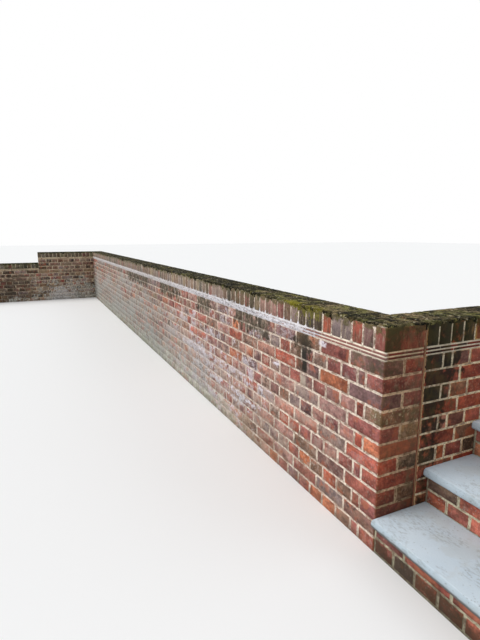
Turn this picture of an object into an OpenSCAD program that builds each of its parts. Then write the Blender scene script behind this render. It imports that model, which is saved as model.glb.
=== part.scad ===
// Brick garden wall: a long one-brick wall in English bond, returned at both ends,
// with a flight of stone-topped brick steps set against the near return.
// The origin is the middle of the main wall's base. The main wall runs along X and
// its fair face looks towards -Y. The flight climbs towards +Y.

/* [Brickwork] */
// Length of a brick, which is also the thickness of every wall
brick_l = 215; // [190:1:240]
// Width of a brick, which is the height of the coping and the depth of a riser
brick_w = 102.5; // [90:0.5:115]
// Height of a brick laid flat in a course
brick_h = 65; // [50:1:75]
// Thickness of the mortar bed between two courses
bed_h = 8; // [6:1:14]
// Courses from the base up to the creasing
courses = 12; // [11:1:18]

/* [Main wall] */
// Length of the fair face, from the internal corner to the quoin
main_l = 9000; // [4500:225:11250]

/* [Back wall] */
// Length of the high part, measured out from the main wall's fair face
back_high_l = 1115; // [665:225:2240]
// Length of the low part beyond the step in the coping
back_low_l = 1800; // [900:225:3600]
// Courses by which the coping steps down
back_drop_courses = 3; // [1:1:6]

/* [Creasing and coping] */
// Thickness of one clay creasing tile
tile_h = 11; // [8:1:16]
// Radius of the eased arrises along the top of the coping
coping_arris_r = 11; // [3:1:20]

/* [Movement joint] */
// Width of the straight joint between the main wall and the return
joint_w = 13; // [8:1:20]

/* [Steps] */
// Number of treads in the flight
steps = 5; // [3:1:5]
// Width of the flight, out from the face of the return
flight_w = 1125; // [675:112.5:1800]
// Height of the first tread's top above the base
first_rise = 166; // [140:1:180]
// Height from the top of one tread to the top of the next
rise = 172; // [150:1:180]
// Depth from the face of one riser to the face of the next
going = 293; // [250:1:340]
// Thickness of a stone tread
tread_h = 40; // [36:1:60]
// Projection of a tread in front of its riser
nosing = 25; // [15:1:45]
// Radius worked on the upper and lower edges of a nosing
nosing_r = 16; // [6:1:18]

/* [Hidden] */
$fn = 48;

wall_t = brick_l;
gauge = brick_h + bed_h;
brickwork_h = courses * gauge - bed_h;
low_brickwork_h = brickwork_h - back_drop_courses * gauge;
creasing_h = 3 * bed_h + 2 * tile_h;
coping_h = brick_w;
riser_t = brick_w;

// The main wall's four faces
far_x = -main_l / 2;
near_x = main_l / 2;
front_y = -wall_t / 2;
rear_y = wall_t / 2;

// The flight's extent, which the return wall follows
flight_y = front_y;
flight_end_y = flight_y + steps * going + riser_t;
return_y = rear_y + joint_w;

// Where the back wall steps down and where it ends
back_step_y = front_y - back_high_l;
back_end_y = back_step_y - back_low_l;

// A run of wall is [[low x, high x], [low y, high y], height of its brickwork]
main_run = [[far_x, near_x], [front_y, rear_y], brickwork_h];
back_high_run = [[far_x - wall_t, far_x], [back_step_y, rear_y], brickwork_h];
back_low_run = [[far_x - wall_t, far_x], [back_end_y, back_step_y], low_brickwork_h];
return_run = [[near_x - wall_t, near_x], [return_y, flight_end_y], brickwork_h];

brick_colour = "#9c4b39";
coping_colour = "#7d5140";
tile_colour = "#a84a37";
mortar_colour = "#cfc5b4";
joint_colour = "#a5735c";
stone_colour = "#c9cac6";
fill_colour = "#8f857a";

wall_parts = ["", "_creasing_mortar", "_lower_tiles", "_upper_tiles", "_coping"];

function span(ends) = ends[1] - ends[0];
function tread_top(k) = k == 0 ? 0 : first_rise + (k - 1) * rise;
function riser_y(k) = flight_y + (k - 1) * going;
function lower_tile_z(run) = run[2] + bed_h;
function upper_tile_z(run) = lower_tile_z(run) + tile_h + bed_h;
function coping_z(run) = run[2] + creasing_h;

// A block between pairs of limits in x, y and z
module block(x, y, z) {
    translate([x[0], y[0], z[0]]) cube([span(x), span(y), span(z)]);
}

// A flat layer that covers a run of wall from one height to another
module layer(run, z, h) {
    block(run[0], run[1], [z, z + h]);
}

// Section of width w and height h with round upper corners on the chosen sides
module eased_section(w, h, r, left, right) {
    left_r = left ? r : 0;
    right_r = right ? r : 0;
    square([w, h - r]);
    translate([left_r, 0]) square([w - left_r - right_r, h]);
    if (left) translate([r, h - r]) circle(r);
    if (right) translate([w - r, h - r]) circle(r);
}

// The body of a run of wall, in flat courses from the base to the creasing
module brickwork(run) {
    color(brick_colour) layer(run, 0, run[2]);
}

// The three mortar beds under, between and over the two courses of tiles
module creasing_mortar(run) {
    color(mortar_colour) {
        layer(run, run[2], bed_h);
        layer(run, lower_tile_z(run) + tile_h, bed_h);
        layer(run, upper_tile_z(run) + tile_h, bed_h);
    }
}

module lower_tiles(run) {
    color(tile_colour) layer(run, lower_tile_z(run), tile_h);
}

module upper_tiles(run) {
    color(tile_colour) layer(run, upper_tile_z(run), tile_h);
}

// Bricks on edge across the wall. ends_x and ends_y say which edges are eased.
module coping(run, ends_x, ends_y) {
    w = span(run[0]);
    l = span(run[1]);
    color(coping_colour) intersection() {
        translate([run[0][0], run[1][0], coping_z(run)])
            rotate([90, 0, 90])
                linear_extrude(w) eased_section(l, coping_h, coping_arris_r, ends_y[0], ends_y[1]);
        translate([run[0][0], run[1][1], coping_z(run)])
            rotate([90, 0, 0])
                linear_extrude(l) eased_section(w, coping_h, coping_arris_r, ends_x[0], ends_x[1]);
    }
}

// One of the five parts that make a run of wall
module wall_part(part, run, ends_x, ends_y) {
    if (part == "") brickwork(run);
    if (part == "_creasing_mortar") creasing_mortar(run);
    if (part == "_lower_tiles") lower_tiles(run);
    if (part == "_upper_tiles") upper_tiles(run);
    if (part == "_coping") coping(run, ends_x, ends_y);
}

// The filled straight joint between the quoin and the return wall
module movement_joint() {
    color(joint_colour)
        block([near_x - wall_t, near_x], [rear_y, return_y], [0, coping_z(main_run) + coping_h]);
}

// Half-brick wall that stands on the tread below and carries the tread above
module riser(k) {
    color(brick_colour)
        block([near_x, near_x + flight_w], [riser_y(k), riser_y(k) + riser_t],
              [tread_top(k - 1), tread_top(k) - tread_h]);
}

// Side section of a tread with its worked nosing, drawn from the front edge back
module tread_section(depth) {
    translate([nosing_r, 0]) square([depth - nosing_r, tread_h]);
    translate([0, nosing_r]) square([nosing_r, tread_h - 2 * nosing_r]);
    translate([nosing_r, nosing_r]) circle(nosing_r);
    translate([nosing_r, tread_h - nosing_r]) circle(nosing_r);
}

// Stone slab that runs from its nosing to the back of the next riser
module tread(k) {
    back_y = riser_y(k + 1) + riser_t;
    color(stone_colour)
        translate([near_x, riser_y(k) - nosing, tread_top(k) - tread_h])
            rotate([90, 0, 90])
                linear_extrude(flight_w) tread_section(back_y - riser_y(k) + nosing);
}

// Solid backing behind a riser, level with the tread that lies on it
module step_fill(k) {
    low_z = k == 1 ? 0 : tread_top(k - 1) - tread_h;
    color(fill_colour)
        block([near_x, near_x + flight_w], [riser_y(k) + riser_t, flight_end_y],
              [low_z, tread_top(k) - tread_h]);
}

for (part = wall_parts) {
    wall_part(part, main_run, [false, true], [true, true]);
    wall_part(part, back_high_run, [true, true], [true, true]);
    wall_part(part, back_low_run, [true, true], [false, false]);
    wall_part(part, return_run, [true, true], [false, false]);
}
movement_joint();
for (k = [1:steps]) {
    riser(k);
    tread(k);
    step_fill(k);
}
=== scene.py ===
"""Looks of the brick garden wall with its flight of stone treads.

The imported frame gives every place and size. This script lays the bricks, the creasing
tiles, the coping and the treads in it, points the joints and weathers each face. All
lengths are in metres, Z is up and the main wall's fair face looks towards -Y.
"""

import logging
import math
import random
from dataclasses import astuple, dataclass, field, replace
from enum import Enum
from functools import cached_property, partial, reduce

import bmesh
import bpy
from mathutils import Matrix, Vector, noise


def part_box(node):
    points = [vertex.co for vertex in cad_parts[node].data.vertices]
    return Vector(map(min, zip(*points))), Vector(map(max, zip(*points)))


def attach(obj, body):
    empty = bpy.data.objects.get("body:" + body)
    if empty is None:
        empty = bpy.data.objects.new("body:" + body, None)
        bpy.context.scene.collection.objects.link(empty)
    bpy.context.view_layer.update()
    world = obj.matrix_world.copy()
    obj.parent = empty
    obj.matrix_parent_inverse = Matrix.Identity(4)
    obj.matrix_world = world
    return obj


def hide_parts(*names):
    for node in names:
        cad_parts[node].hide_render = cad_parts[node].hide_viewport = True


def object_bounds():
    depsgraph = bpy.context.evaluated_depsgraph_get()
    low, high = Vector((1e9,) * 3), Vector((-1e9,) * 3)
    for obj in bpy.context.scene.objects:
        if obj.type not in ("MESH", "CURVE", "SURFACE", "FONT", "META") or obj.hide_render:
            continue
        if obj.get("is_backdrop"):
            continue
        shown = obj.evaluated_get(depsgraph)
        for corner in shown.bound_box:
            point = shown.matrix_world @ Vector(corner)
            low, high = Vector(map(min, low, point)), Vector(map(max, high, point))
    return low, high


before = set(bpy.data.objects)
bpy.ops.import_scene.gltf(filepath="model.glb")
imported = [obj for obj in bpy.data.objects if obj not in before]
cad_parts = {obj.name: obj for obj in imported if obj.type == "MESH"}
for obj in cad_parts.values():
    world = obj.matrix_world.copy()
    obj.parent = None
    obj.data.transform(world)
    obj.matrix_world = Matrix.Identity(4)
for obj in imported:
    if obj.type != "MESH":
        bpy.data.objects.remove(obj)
CAD_LOW, CAD_HIGH = (Vector(corner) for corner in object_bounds())

LOG = logging.getLogger("garden_wall")

Colour = tuple[float, float, float, float]
Shown = tuple[int, int, int]
Span = tuple[float, float]
Socket = bpy.types.NodeSocket
Value = float | Socket
Material = bpy.types.Material
Mesh = bmesh.types.BMesh
Edges = list[bmesh.types.BMEdge]

# The brick's format and its joints, as in the part's source
BRICK_L = 0.215
BRICK_W = 0.1025
BRICK_H = 0.065
CLOSER_W = 0.04625
BED = 0.008
PERPEND = 0.010
GAUGE = BRICK_H + BED
WALL_T = BRICK_L
SHORTEST_CUT = 0.045
SHORTEST_CLOSER = 0.03
COPING_ARRIS = 0.011
COPING_JOINT = 0.0078

# A creasing tile with its joint, and that joint
TILE_PITCH = 0.168
TILE_JOINT = 0.003

# The worn tiles and beds of the creasing take this share of their packed height
CREASING_SHARE = 0.85

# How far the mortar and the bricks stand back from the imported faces
JOINT_RECESS = 0.0026
RECESS = Vector((JOINT_RECESS, JOINT_RECESS, 0.0))
FACE_INSET = 0.0005

# The quoin's place along the main wall, and how far from it the creasing begins to leach
QUOIN_X = 4.5
LEACH_FROM = 0.62

# The seed of the noise that moves vertices, without which each run would start it by the clock
NOISE_SEED = 147


def tint(red: float, green: float, blue: float) -> Colour:
    """Turns a colour as a screen shows it into the linear values that shaders use.

    Args:
        red: Red from 0 to 255.
        green: Green from 0 to 255.
        blue: Blue from 0 to 255.

    Returns:
        The linear colour with an alpha of 1.
    """

    def channel(shown: float) -> float:
        """Returns the linear value of one shown channel."""
        part = min(shown, 255.0) / 255.0
        return part / 12.92 if part <= 0.04045 else ((part + 0.055) / 1.055) ** 2.4

    return (channel(red), channel(green), channel(blue), 1.0)


def ease(value: float, low: float, high: float) -> float:
    """Rises smoothly from 0 at low to 1 at high; low may be the larger of the two.

    Args:
        value: Where to read the curve.
        low: Where it starts to rise.
        high: Where it reaches 1.

    Returns:
        A number from 0 to 1.
    """
    part = min(max((value - low) / (high - low), 0.0), 1.0)
    return part * part * (3.0 - 2.0 * part)


class Fired(Enum):
    """How a brick came out of the kiln, as its body colour on a screen."""

    ORANGE = (184, 110, 78)
    BRIGHT_RED = (164, 88, 72)
    RED = (148, 88, 80)
    PINK = (174, 128, 116)
    PLUM = (124, 92, 88)
    GREY_PLUM = (142, 120, 114)
    BROWN = (128, 98, 82)
    TAN = (152, 130, 106)
    DARK = (78, 66, 56)

    def body(self, chance: random.Random) -> Colour:
        """Gives one brick's own body colour, a little off the colour of its kind.

        Args:
            chance: The seeded source of variation.

        Returns:
            The linear colour.
        """
        red, green, blue = self.value
        light = chance.uniform(0.92, 1.09)
        warm = chance.uniform(-5.0, 5.0)
        return tint(red * light + warm, green * light, blue * light - warm)


class Ground(Enum):
    """What a weathered surface is made of."""

    BRICK = "brick"
    MORTAR = "mortar"
    TILE = "creasing_tile"
    COPING = "coping"


@dataclass(frozen=True)
class Wear:
    """What the years did to one brick, each from 0 to 1; a bloom of 0.5 is the wall's own."""

    bloom: float = 0.5
    mould: float = 0.0
    dust: float = 0.2
    lichen: float = 0.0


class Recipe:
    """A node material written step by step, where most steps give back their socket.

    The recipe keeps the colour that its layers give so far: coat, dim and shade change it.
    """

    def __init__(self, name: str, ground: Ground | None = None) -> None:
        """Starts an empty material.

        Args:
            name: The material's name.
            ground: What a weathered surface is made of.
        """
        self.material = bpy.data.materials.new(name)
        self.material.use_nodes = True
        self.tree = self.material.node_tree
        self.tree.nodes.clear()
        self.surface = self.node("ShaderNodeBsdfPrincipled")
        self.node("ShaderNodeOutputMaterial", self.surface.outputs["BSDF"])
        self.place = self.node("ShaderNodeTexCoord").outputs["Object"]
        self.x, self.y, self.z = self.node("ShaderNodeSeparateXYZ", self.place).outputs
        self.ground = ground
        self.colour: Socket | None = None
        # How much more or less bloom a brick has than the wall round it
        self.bloom: Socket | None = None

    def fill(self, socket: Socket, value: object) -> None:
        """Fills an input.

        Args:
            socket: The input.
            value: A socket to link from, a value, or None to leave the input.
        """
        if isinstance(value, bpy.types.NodeSocket):
            self.tree.links.new(value, socket)
        elif value is not None:
            socket.default_value = value

    def node(self, kind: str, *values: object, **settings: object) -> bpy.types.Node:
        """Adds a node, sets it up and fills its first inputs.

        Args:
            kind: The node's type.
            values: What fills each input.
            settings: Properties of the node.

        Returns:
            The node.
        """
        node = self.tree.nodes.new(kind)
        for name, value in settings.items():
            setattr(node, name, value)
        for socket, value in zip(node.inputs, values):
            self.fill(socket, value)
        return node

    def math(self, operation: str, first: Value, second: Value = 0.0) -> Socket:
        """Returns what a Math node makes of one or two values."""
        return self.node("ShaderNodeMath", first, second, operation=operation).outputs[0]

    def times(self, *values: Value) -> Value:
        """Returns the product of one or more values."""
        return reduce(partial(self.math, "MULTIPLY"), values)

    def plus(self, *values: Value) -> Value:
        """Returns the sum of one or more values."""
        return reduce(partial(self.math, "ADD"), values)

    def minus(self, first: Value, second: Value) -> Socket:
        """Returns the first value less the second."""
        return self.math("SUBTRACT", first, second)

    def vector(self, operation: str, *values: object) -> Socket:
        """Returns what a Vector Math node makes of its inputs."""
        return self.node("ShaderNodeVectorMath", *values, operation=operation).outputs[0]

    def eased(
        self, value: Value, low: float, high: float, start: float = 0.0, end: float = 1.0
    ) -> Socket:
        """Maps a value smoothly from one range to another; low may be the larger.

        Args:
            value: The value to map.
            low: Where the change begins.
            high: Where it ends.
            start: The result at low.
            end: The result at high.

        Returns:
            The mapped value.
        """
        if low > high:
            low, high, start, end = high, low, end, start
        ranged = self.node(
            "ShaderNodeMapRange", value, low, high, start, end, interpolation_type="SMOOTHSTEP"
        )
        return ranged.outputs[0]

    def spread(self, value: Value, start: float, end: float) -> Socket:
        """Maps a value from between 0 and 1 to between two others, smoothly."""
        return self.eased(value, 0.0, 1.0, start, end)

    def band(self, value: Value, low: float, high: float, soft: float) -> Socket:
        """Returns 1 between two limits and 0 outside them, fading over a soft width at each."""
        rise = self.eased(value, low - soft / 2.0, low + soft / 2.0)
        return self.times(rise, self.eased(value, high + soft / 2.0, high - soft / 2.0))

    def noise(
        self,
        scale: float,
        detail: float = 4.0,
        rough: float = 0.6,
        place: Socket | None = None,
        stretch: tuple[float, float, float] | None = None,
    ) -> Socket:
        """Adds noise spread over 0 to 1.

        Args:
            scale: Waves in a metre.
            detail: Octaves.
            rough: Weight of the finer octaves.
            place: Where to read it, or None for the object's own coordinates.
            stretch: Factors on the three coordinates.

        Returns:
            The noise.
        """
        where = place or self.place
        if stretch is not None:
            where = self.vector("MULTIPLY", where, stretch)
        node = self.node("ShaderNodeTexNoise", where, None, scale, detail, rough)
        return self.node("ShaderNodeMapRange", node.outputs[0], 0.30, 0.70).outputs[0]

    def spots(self, scale: float, size: float, place: Socket | None = None) -> Socket:
        """Returns a mask of round spots: how many in a metre, and their radius as a share of that."""
        node = self.node("ShaderNodeTexVoronoi", place or self.place, None, scale)
        return self.eased(node.outputs["Distance"], size * 1.3, size * 0.7)

    def patch(self, level: Value, grain: Socket, soft: float = 0.25) -> Socket:
        """Covers part of a surface where noise is high: level 0 leaves it bare, 1 covers it."""
        return self.eased(self.plus(grain, self.times(level, 1.0 + soft), -1.0), 0.0, soft)

    def mix(
        self, share: Value, under: Socket | Shown, over: Socket | Shown, blend: str = "MIX"
    ) -> Socket:
        """Lays one colour over another.

        Args:
            share: How much of the upper colour shows.
            under: The lower colour.
            over: The upper colour.
            blend: The node's way of blending.

        Returns:
            The colour.
        """
        layers = [tint(*layer) if isinstance(layer, tuple) else layer for layer in (under, over)]
        values = (share, *[None] * 5, *layers)
        return self.node("ShaderNodeMix", *values, data_type="RGBA", blend_type=blend).outputs[2]

    def lit(self, colour: Socket | Shown, factor: Socket) -> Socket:
        """Returns a colour with its channels multiplied by a factor."""
        start = tint(*colour)[:3] if isinstance(colour, tuple) else colour
        return self.vector("SCALE", start, None, None, factor)

    def shade(self, factor: Socket) -> None:
        """Makes the surface lighter or darker by a factor."""
        self.colour = self.lit(self.colour, factor)

    def coat(self, over: Socket | Shown, *shares: Value) -> None:
        """Lays a colour over the surface, as far as the product of the shares."""
        self.colour = self.mix(self.times(*shares), self.colour, over)

    def dim(self, by: Shown, *shares: Value) -> None:
        """Multiplies the surface's colour by another, as far as the product of the shares."""
        self.colour = self.mix(self.times(*(shares or (1.0,))), self.colour, by, "MULTIPLY")

    def attribute(self, name: str) -> tuple[Socket, Socket]:
        """Returns the colour and the alpha of a colour attribute of the mesh."""
        node = self.node("ShaderNodeAttribute", attribute_name=name)
        return node.outputs["Color"], node.outputs["Alpha"]

    def parted(self, colour: Socket) -> list[Socket]:
        """Returns the red, green and blue of a colour."""
        return list(self.node("ShaderNodeSeparateColor", colour).outputs)[:3]

    def own_place(self, seed: Socket) -> Socket:
        """Moves the pattern by a brick's own number, so that no two bricks share it."""
        return self.vector("MULTIPLY_ADD", seed, (37.0, 53.0, 71.0), self.place)

    def done(self, rough: Value, height: Socket, relief: float, gloss: float = 0.25) -> Material:
        """Fills the shader and gives the material back.

        Args:
            rough: The roughness.
            height: The surface's relief from 0 to 1.
            relief: How deep that relief is.
            gloss: The specular level.

        Returns:
            The material.
        """
        bump = self.node("ShaderNodeBump", 0.8, relief)
        self.fill(bump.inputs["Height"], height)
        self.fill(self.surface.inputs["Normal"], bump.outputs[0])
        self.fill(self.surface.inputs["Base Color"], self.colour)
        self.fill(self.surface.inputs["Specular IOR Level"], gloss)
        self.fill(self.surface.inputs["Roughness"], rough)
        return self.material


Kinds = tuple[tuple[Fired, float], ...]


def kinds_of(**weights: float) -> Kinds:
    """Returns kinds of brick by name with their weights, in the order given."""
    return tuple((Fired[name], weight) for name, weight in weights.items())


@dataclass(frozen=True)
class Spot:
    """Where a brick lies: course down from the top, number in it, leaf and distance along.

    The leaf is 0 in the fair face and 1 behind it.
    """

    course: int
    index: int
    leaf: int
    s: float


@dataclass(frozen=True)
class Weather:
    """What the open air has done to one part of the garden wall."""

    name: str = "flight"
    kinds: Kinds = kinds_of(BRIGHT_RED=4.0, ORANGE=1.6, RED=3.0, BROWN=1.8, PLUM=1.4)
    coping_kinds: Kinds = kinds_of(BROWN=4.0, TAN=2.0, GREY_PLUM=2.0, RED=1.6, DARK=0.8)
    joint: Shown = (208, 190, 164)
    ledge: float = 1.0165
    # How far out the arris of a free corner is, as x less y, where no mortar lies over it
    free_arris: float = 99.0

    def choose(self, kinds: Kinds, chance: random.Random) -> Fired:
        """Picks a kind of brick by weight."""
        return chance.choices(*zip(*kinds))[0]

    def fired(self, spot: Spot, chance: random.Random) -> Fired:
        """Says how the brick at one place in the wall was fired."""
        return self.choose(self.kinds, chance)

    def coping_fired(self, index: int, chance: random.Random) -> Fired:
        """Says how one brick of the coping was fired, by its number from the start."""
        return self.choose(self.coping_kinds, chance)

    def wear(self, place: Vector, spot: Spot, chance: random.Random) -> Wear:
        """Says what the years did to the brick with its middle at one place."""
        return Wear(mould=0.05 + 0.15 * ease(place.z, 0.1, 0.0), dust=chance.uniform(0.0, 0.3))

    def over(self, r: Recipe) -> None:
        """Lays what the weather left over the colour of a surface; some walls add painted shade here too.

        Args:
            r: The recipe being written.
        """
        aged = r.patch(0.36, r.noise(20.0, 5.0, 0.66), 0.4)
        r.coat((104, 80, 62), aged, 0.34)
        splash = r.patch(r.eased(r.z, 0.14, 0.03, 0.06, 0.76), r.noise(14.0, 5.0, 0.7), 0.5)
        r.coat((60, 48, 33), splash, 0.54 if r.ground is Ground.MORTAR else 0.80)
        r.dim((238, 252, 252))


@dataclass(frozen=True)
class FairFaceWeather(Weather):
    """The main wall: lime along its creasing, bloom low down and mould under the coping."""

    name: str = "fair_face"
    kinds: Kinds = kinds_of(
        RED=3.6, BRIGHT_RED=2.2, PLUM=2.8, PINK=1.8, GREY_PLUM=1.5, ORANGE=1.0, BROWN=1.6, DARK=0.5
    )
    joint: Shown = (238, 222, 206)
    free_arris: float = 4.6075

    def fired(self, spot: Spot, chance: random.Random) -> Fired:
        """See Weather.fired; the bricks near the quoin that catch the eye are named."""
        kind = self.choose(self.kinds, chance)
        if spot.s > 2.6 and chance.random() < 0.45:
            kind = chance.choice((Fired.BROWN, Fired.GREY_PLUM, Fired.TAN))
        if spot.leaf:
            return NOTED_REAR.get(spot.course, kind) if spot.index == 0 else kind
        return NOTED_BRICKS.get((spot.course, spot.index), kind)

    def coping_fired(self, index: int, chance: random.Random) -> Fired:
        """See Weather.coping_fired."""
        return NOTED_COPING.get(index, self.choose(self.coping_kinds, chance))

    def wear(self, place: Vector, spot: Spot, chance: random.Random) -> Wear:
        """See Weather.wear."""
        slow = noise.noise(Vector((place.x * 1.4, place.z * 5.0, 7.3)))
        if spot.leaf:
            return Wear(0.3, 0.30 + 0.4 * slow + 0.2 * ease(place.z, 0.3, 0.0), chance.uniform(0.2, 0.5))
        bloom = 0.5 + chance.uniform(-0.32, 0.24)
        if spot.course > 5:
            bloom += 0.10 if spot.course % 2 else -0.10
        grime = ease(place.z, 0.66, 0.80) * chance.uniform(0.0, 0.5)
        dust = 0.26 + 0.35 * slow + chance.uniform(-0.14, 0.18)
        crusted = spot.course == 4 and QUOIN_X - place.x < 0.1
        return Wear(bloom, grime, max(dust, 0.04), 0.7 if crusted else 0.0)

    def over(self, r: Recipe) -> None:
        """See Weather.over."""
        FairFaceStainsAndShade(r).lay()


@dataclass
class FairFaceStainsAndShade:
    """The stains of the main wall and its painted shade, laid one over another on one kind of ground."""

    r: Recipe
    soot_at: float = 0.586
    # Middles and half widths of the patches of mould, from the quoin
    mould_places: tuple[Span, ...] = ((0.60, 0.10), (1.22, 0.26), (2.10, 0.17), (3.1, 0.35), (4.6, 0.6))
    # Middles and half sizes of the patches of salt: distance from the quoin, height
    salt_places: tuple[tuple[float, float, float, float], ...] = (
        (1.55, 0.250, 0.40, 0.050),
        (1.26, 0.400, 0.12, 0.035),
        (2.40, 0.430, 0.35, 0.080),
        (1.00, 0.110, 0.18, 0.030),
        (0.895, 0.617, 0.055, 0.030),
        (0.43, 0.850, 0.030, 0.014),
        (0.33, 0.250, 0.060, 0.020),
    )

    def __post_init__(self) -> None:
        """Measures the distance from the quoin and masks the fair face."""
        self.d = self.r.minus(QUOIN_X, self.r.x)
        self.front = self.r.eased(self.r.y, -0.09, -0.10)

    def lay(self) -> None:
        """Lays all the stains and the painted shade in order."""
        r, d, front = self.r, self.d, self.front
        coarse = r.noise(10.0)
        if r.ground in (Ground.BRICK, Ground.MORTAR):
            self.smudge()
            self.salt()
            self.mould()
            self.soot()
        if r.ground is Ground.COPING:
            self.coping_grime()
        rear = r.eased(r.y, 0.09, 0.10)
        damp = r.patch(r.eased(r.z, 0.9, 0.0, 0.20, 0.62), coarse, 0.6)
        r.coat((72, 66, 52), rear, damp, 0.6)
        self.end(coarse)
        damper = r.times(r.band(d, 0.50, 1.45, 0.2), r.eased(r.z, 0.36, 0.24), front)
        r.dim((240, 243, 242), damper)
        if r.ground is Ground.COPING:
            aside = r.plus(r.y, r.times(r.plus(coarse, -0.5), 0.05))
            olive = r.times(self.past_quoin(), r.eased(aside, -0.008, -0.030))
            r.coat((60, 56, 28), olive, r.eased(r.noise(34.0), -0.3, 0.5), 0.8)
        self.leach()
        # Painted shade: the wall from about three metres beyond the quoin on is darkened a little.
        r.dim((230, 232, 232), r.eased(d, 2.6, 3.8))

    def past_quoin(self) -> Socket:
        """Returns the mask of the wall's end beyond the quoin."""
        return self.r.eased(self.r.x, 4.489, 4.496)

    def end(self, coarse: Socket) -> None:
        """Tints the end of the wall beyond the quoin warmer and darker, partly dirt and partly painted
        shade, darkens it towards the bottom, and lays patches of dirt on it.

        Args:
            coarse: Broad noise over the wall.
        """
        r, end = self.r, self.past_quoin()
        # A warmer, darker tint on the end: partly dirt, partly painted shade for this side.
        r.dim((214, 192, 152) if r.ground is Ground.COPING else (228, 208, 182), end)
        # Darker towards the bottom of the end.
        r.dim((212, 212, 206), end, r.eased(r.z, 0.34, 0.20))
        if r.ground is Ground.BRICK:
            # The orange brick of the sixth course is browner round the corner
            r.coat((122, 72, 52), end, r.band(r.z, 0.438, 0.503, 0.004), 0.55)
        dirt = r.patch(r.eased(r.y, -0.08, 0.09, 0.30, 0.44), r.noise(22.0), 0.5)
        r.coat(r.mix(coarse, (84, 62, 44), (96, 86, 58)), end, dirt, 0.62)

    def smudge(self) -> None:
        """Spreads thin mortar and dust over bricks and joints."""
        r, d = self.r, self.d
        low = r.times(r.eased(r.z, 0.75, 0.25), r.eased(d, 0.3, 1.0), 0.10)
        level = r.plus(r.eased(d, 0.05, 1.3, 0.18, 0.40), low)
        smear = r.patch(level, r.noise(20.0, 5.0, 0.70, stretch=(0.7, 1.0, 1.0)), 0.35)
        thin = r.mix(r.noise(50.0), (180, 146, 132), (216, 194, 180))
        r.coat(thin, smear, self.front, 0.58)

    def soot(self) -> None:
        """Lays the narrow run of soot below the coping and the pale drip at its foot."""
        r, front = self.r, self.front
        strength = 0.45 if r.ground is Ground.MORTAR else 0.94
        aside = r.plus(self.d, -self.soot_at, r.times(r.plus(r.noise(14.0, 3.0), -0.5), 0.035))
        tall = r.times(r.eased(r.z, 0.645, 0.680), r.eased(r.z, 0.885, 0.85), front)
        blotch = r.noise(30.0, 4.0, 0.7)
        halo = r.times(r.band(aside, -0.024, 0.074, 0.04), r.eased(blotch, 0.15, 0.55))
        r.coat((76, 62, 46), halo, tall, strength * 0.84)
        core = r.times(r.eased(r.math("ABSOLUTE", aside), 0.034, 0.016), r.eased(r.z, 0.83, 0.76, 0.4, 1.0))
        core = r.times(core, r.eased(blotch, -0.4, 0.2))
        r.coat((34, 33, 27), core, tall, strength)
        foot = r.times(r.band(r.z, 0.585, 0.640, 0.03), r.eased(r.math("ABSOLUTE", aside), 0.040, 0.012))
        r.coat((206, 196, 178), foot, front, 0.6)

    def salt(self) -> None:
        """Lays the salts that dry out white over bricks and joints alike."""
        r, d, front = self.r, self.d, self.front
        broad = r.noise(3.0, 4.0, 0.6, stretch=(0.45, 1.0, 1.5))
        small = r.noise(17.0, 5.0, 0.72, stretch=(0.8, 1.0, 1.3))
        fine = r.noise(58.0, 4.0, 0.72)
        powder = r.noise(190.0, 3.0, 0.75)
        grain = r.plus(r.times(broad, 0.44), r.times(small, 0.38), r.times(fine, 0.18))
        grain = r.eased(grain, 0.36, 0.64)
        level = r.times(r.eased(d, 0.6, 1.8), r.eased(r.z, 0.74, 0.14, 0.06, 0.48))
        level = r.plus(level, r.times(r.eased(d, 1.6, 3.6), r.eased(r.z, 0.86, 0.60), 0.14))
        spots = []
        for middle, height, half, tall in self.salt_places:
            beside = r.band(d, middle - half, middle + half, half)
            spots.append(r.times(beside, r.band(r.z, height - tall, height + tall, tall)))
        strong = r.plus(*spots)
        level = r.plus(level, r.times(strong, 0.24))
        lumpy = r.eased(r.plus(r.times(fine, 0.4), r.times(small, 0.6)), 0.32, 0.68)
        cover = 0.46
        if r.bloom is not None:
            more = r.plus(r.bloom, -0.5)
            level = r.plus(level, r.times(more, r.eased(d, 0.3, 1.2, 0.2, 0.60)))
            lumpy = r.plus(lumpy, r.times(more, 0.9))
            cover = 0.74
        thin = r.eased(r.plus(r.times(fine, 0.5), r.times(powder, 0.5)), 0.36, 0.60, 0.58, 1.0)
        solid = r.eased(r.plus(thin, r.times(strong, 0.30)), 0.0, 1.0)
        salt = r.times(r.patch(level, grain, 0.34), solid, front)
        white = r.mix(lumpy, (154, 140, 142), (236, 230, 240))
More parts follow.
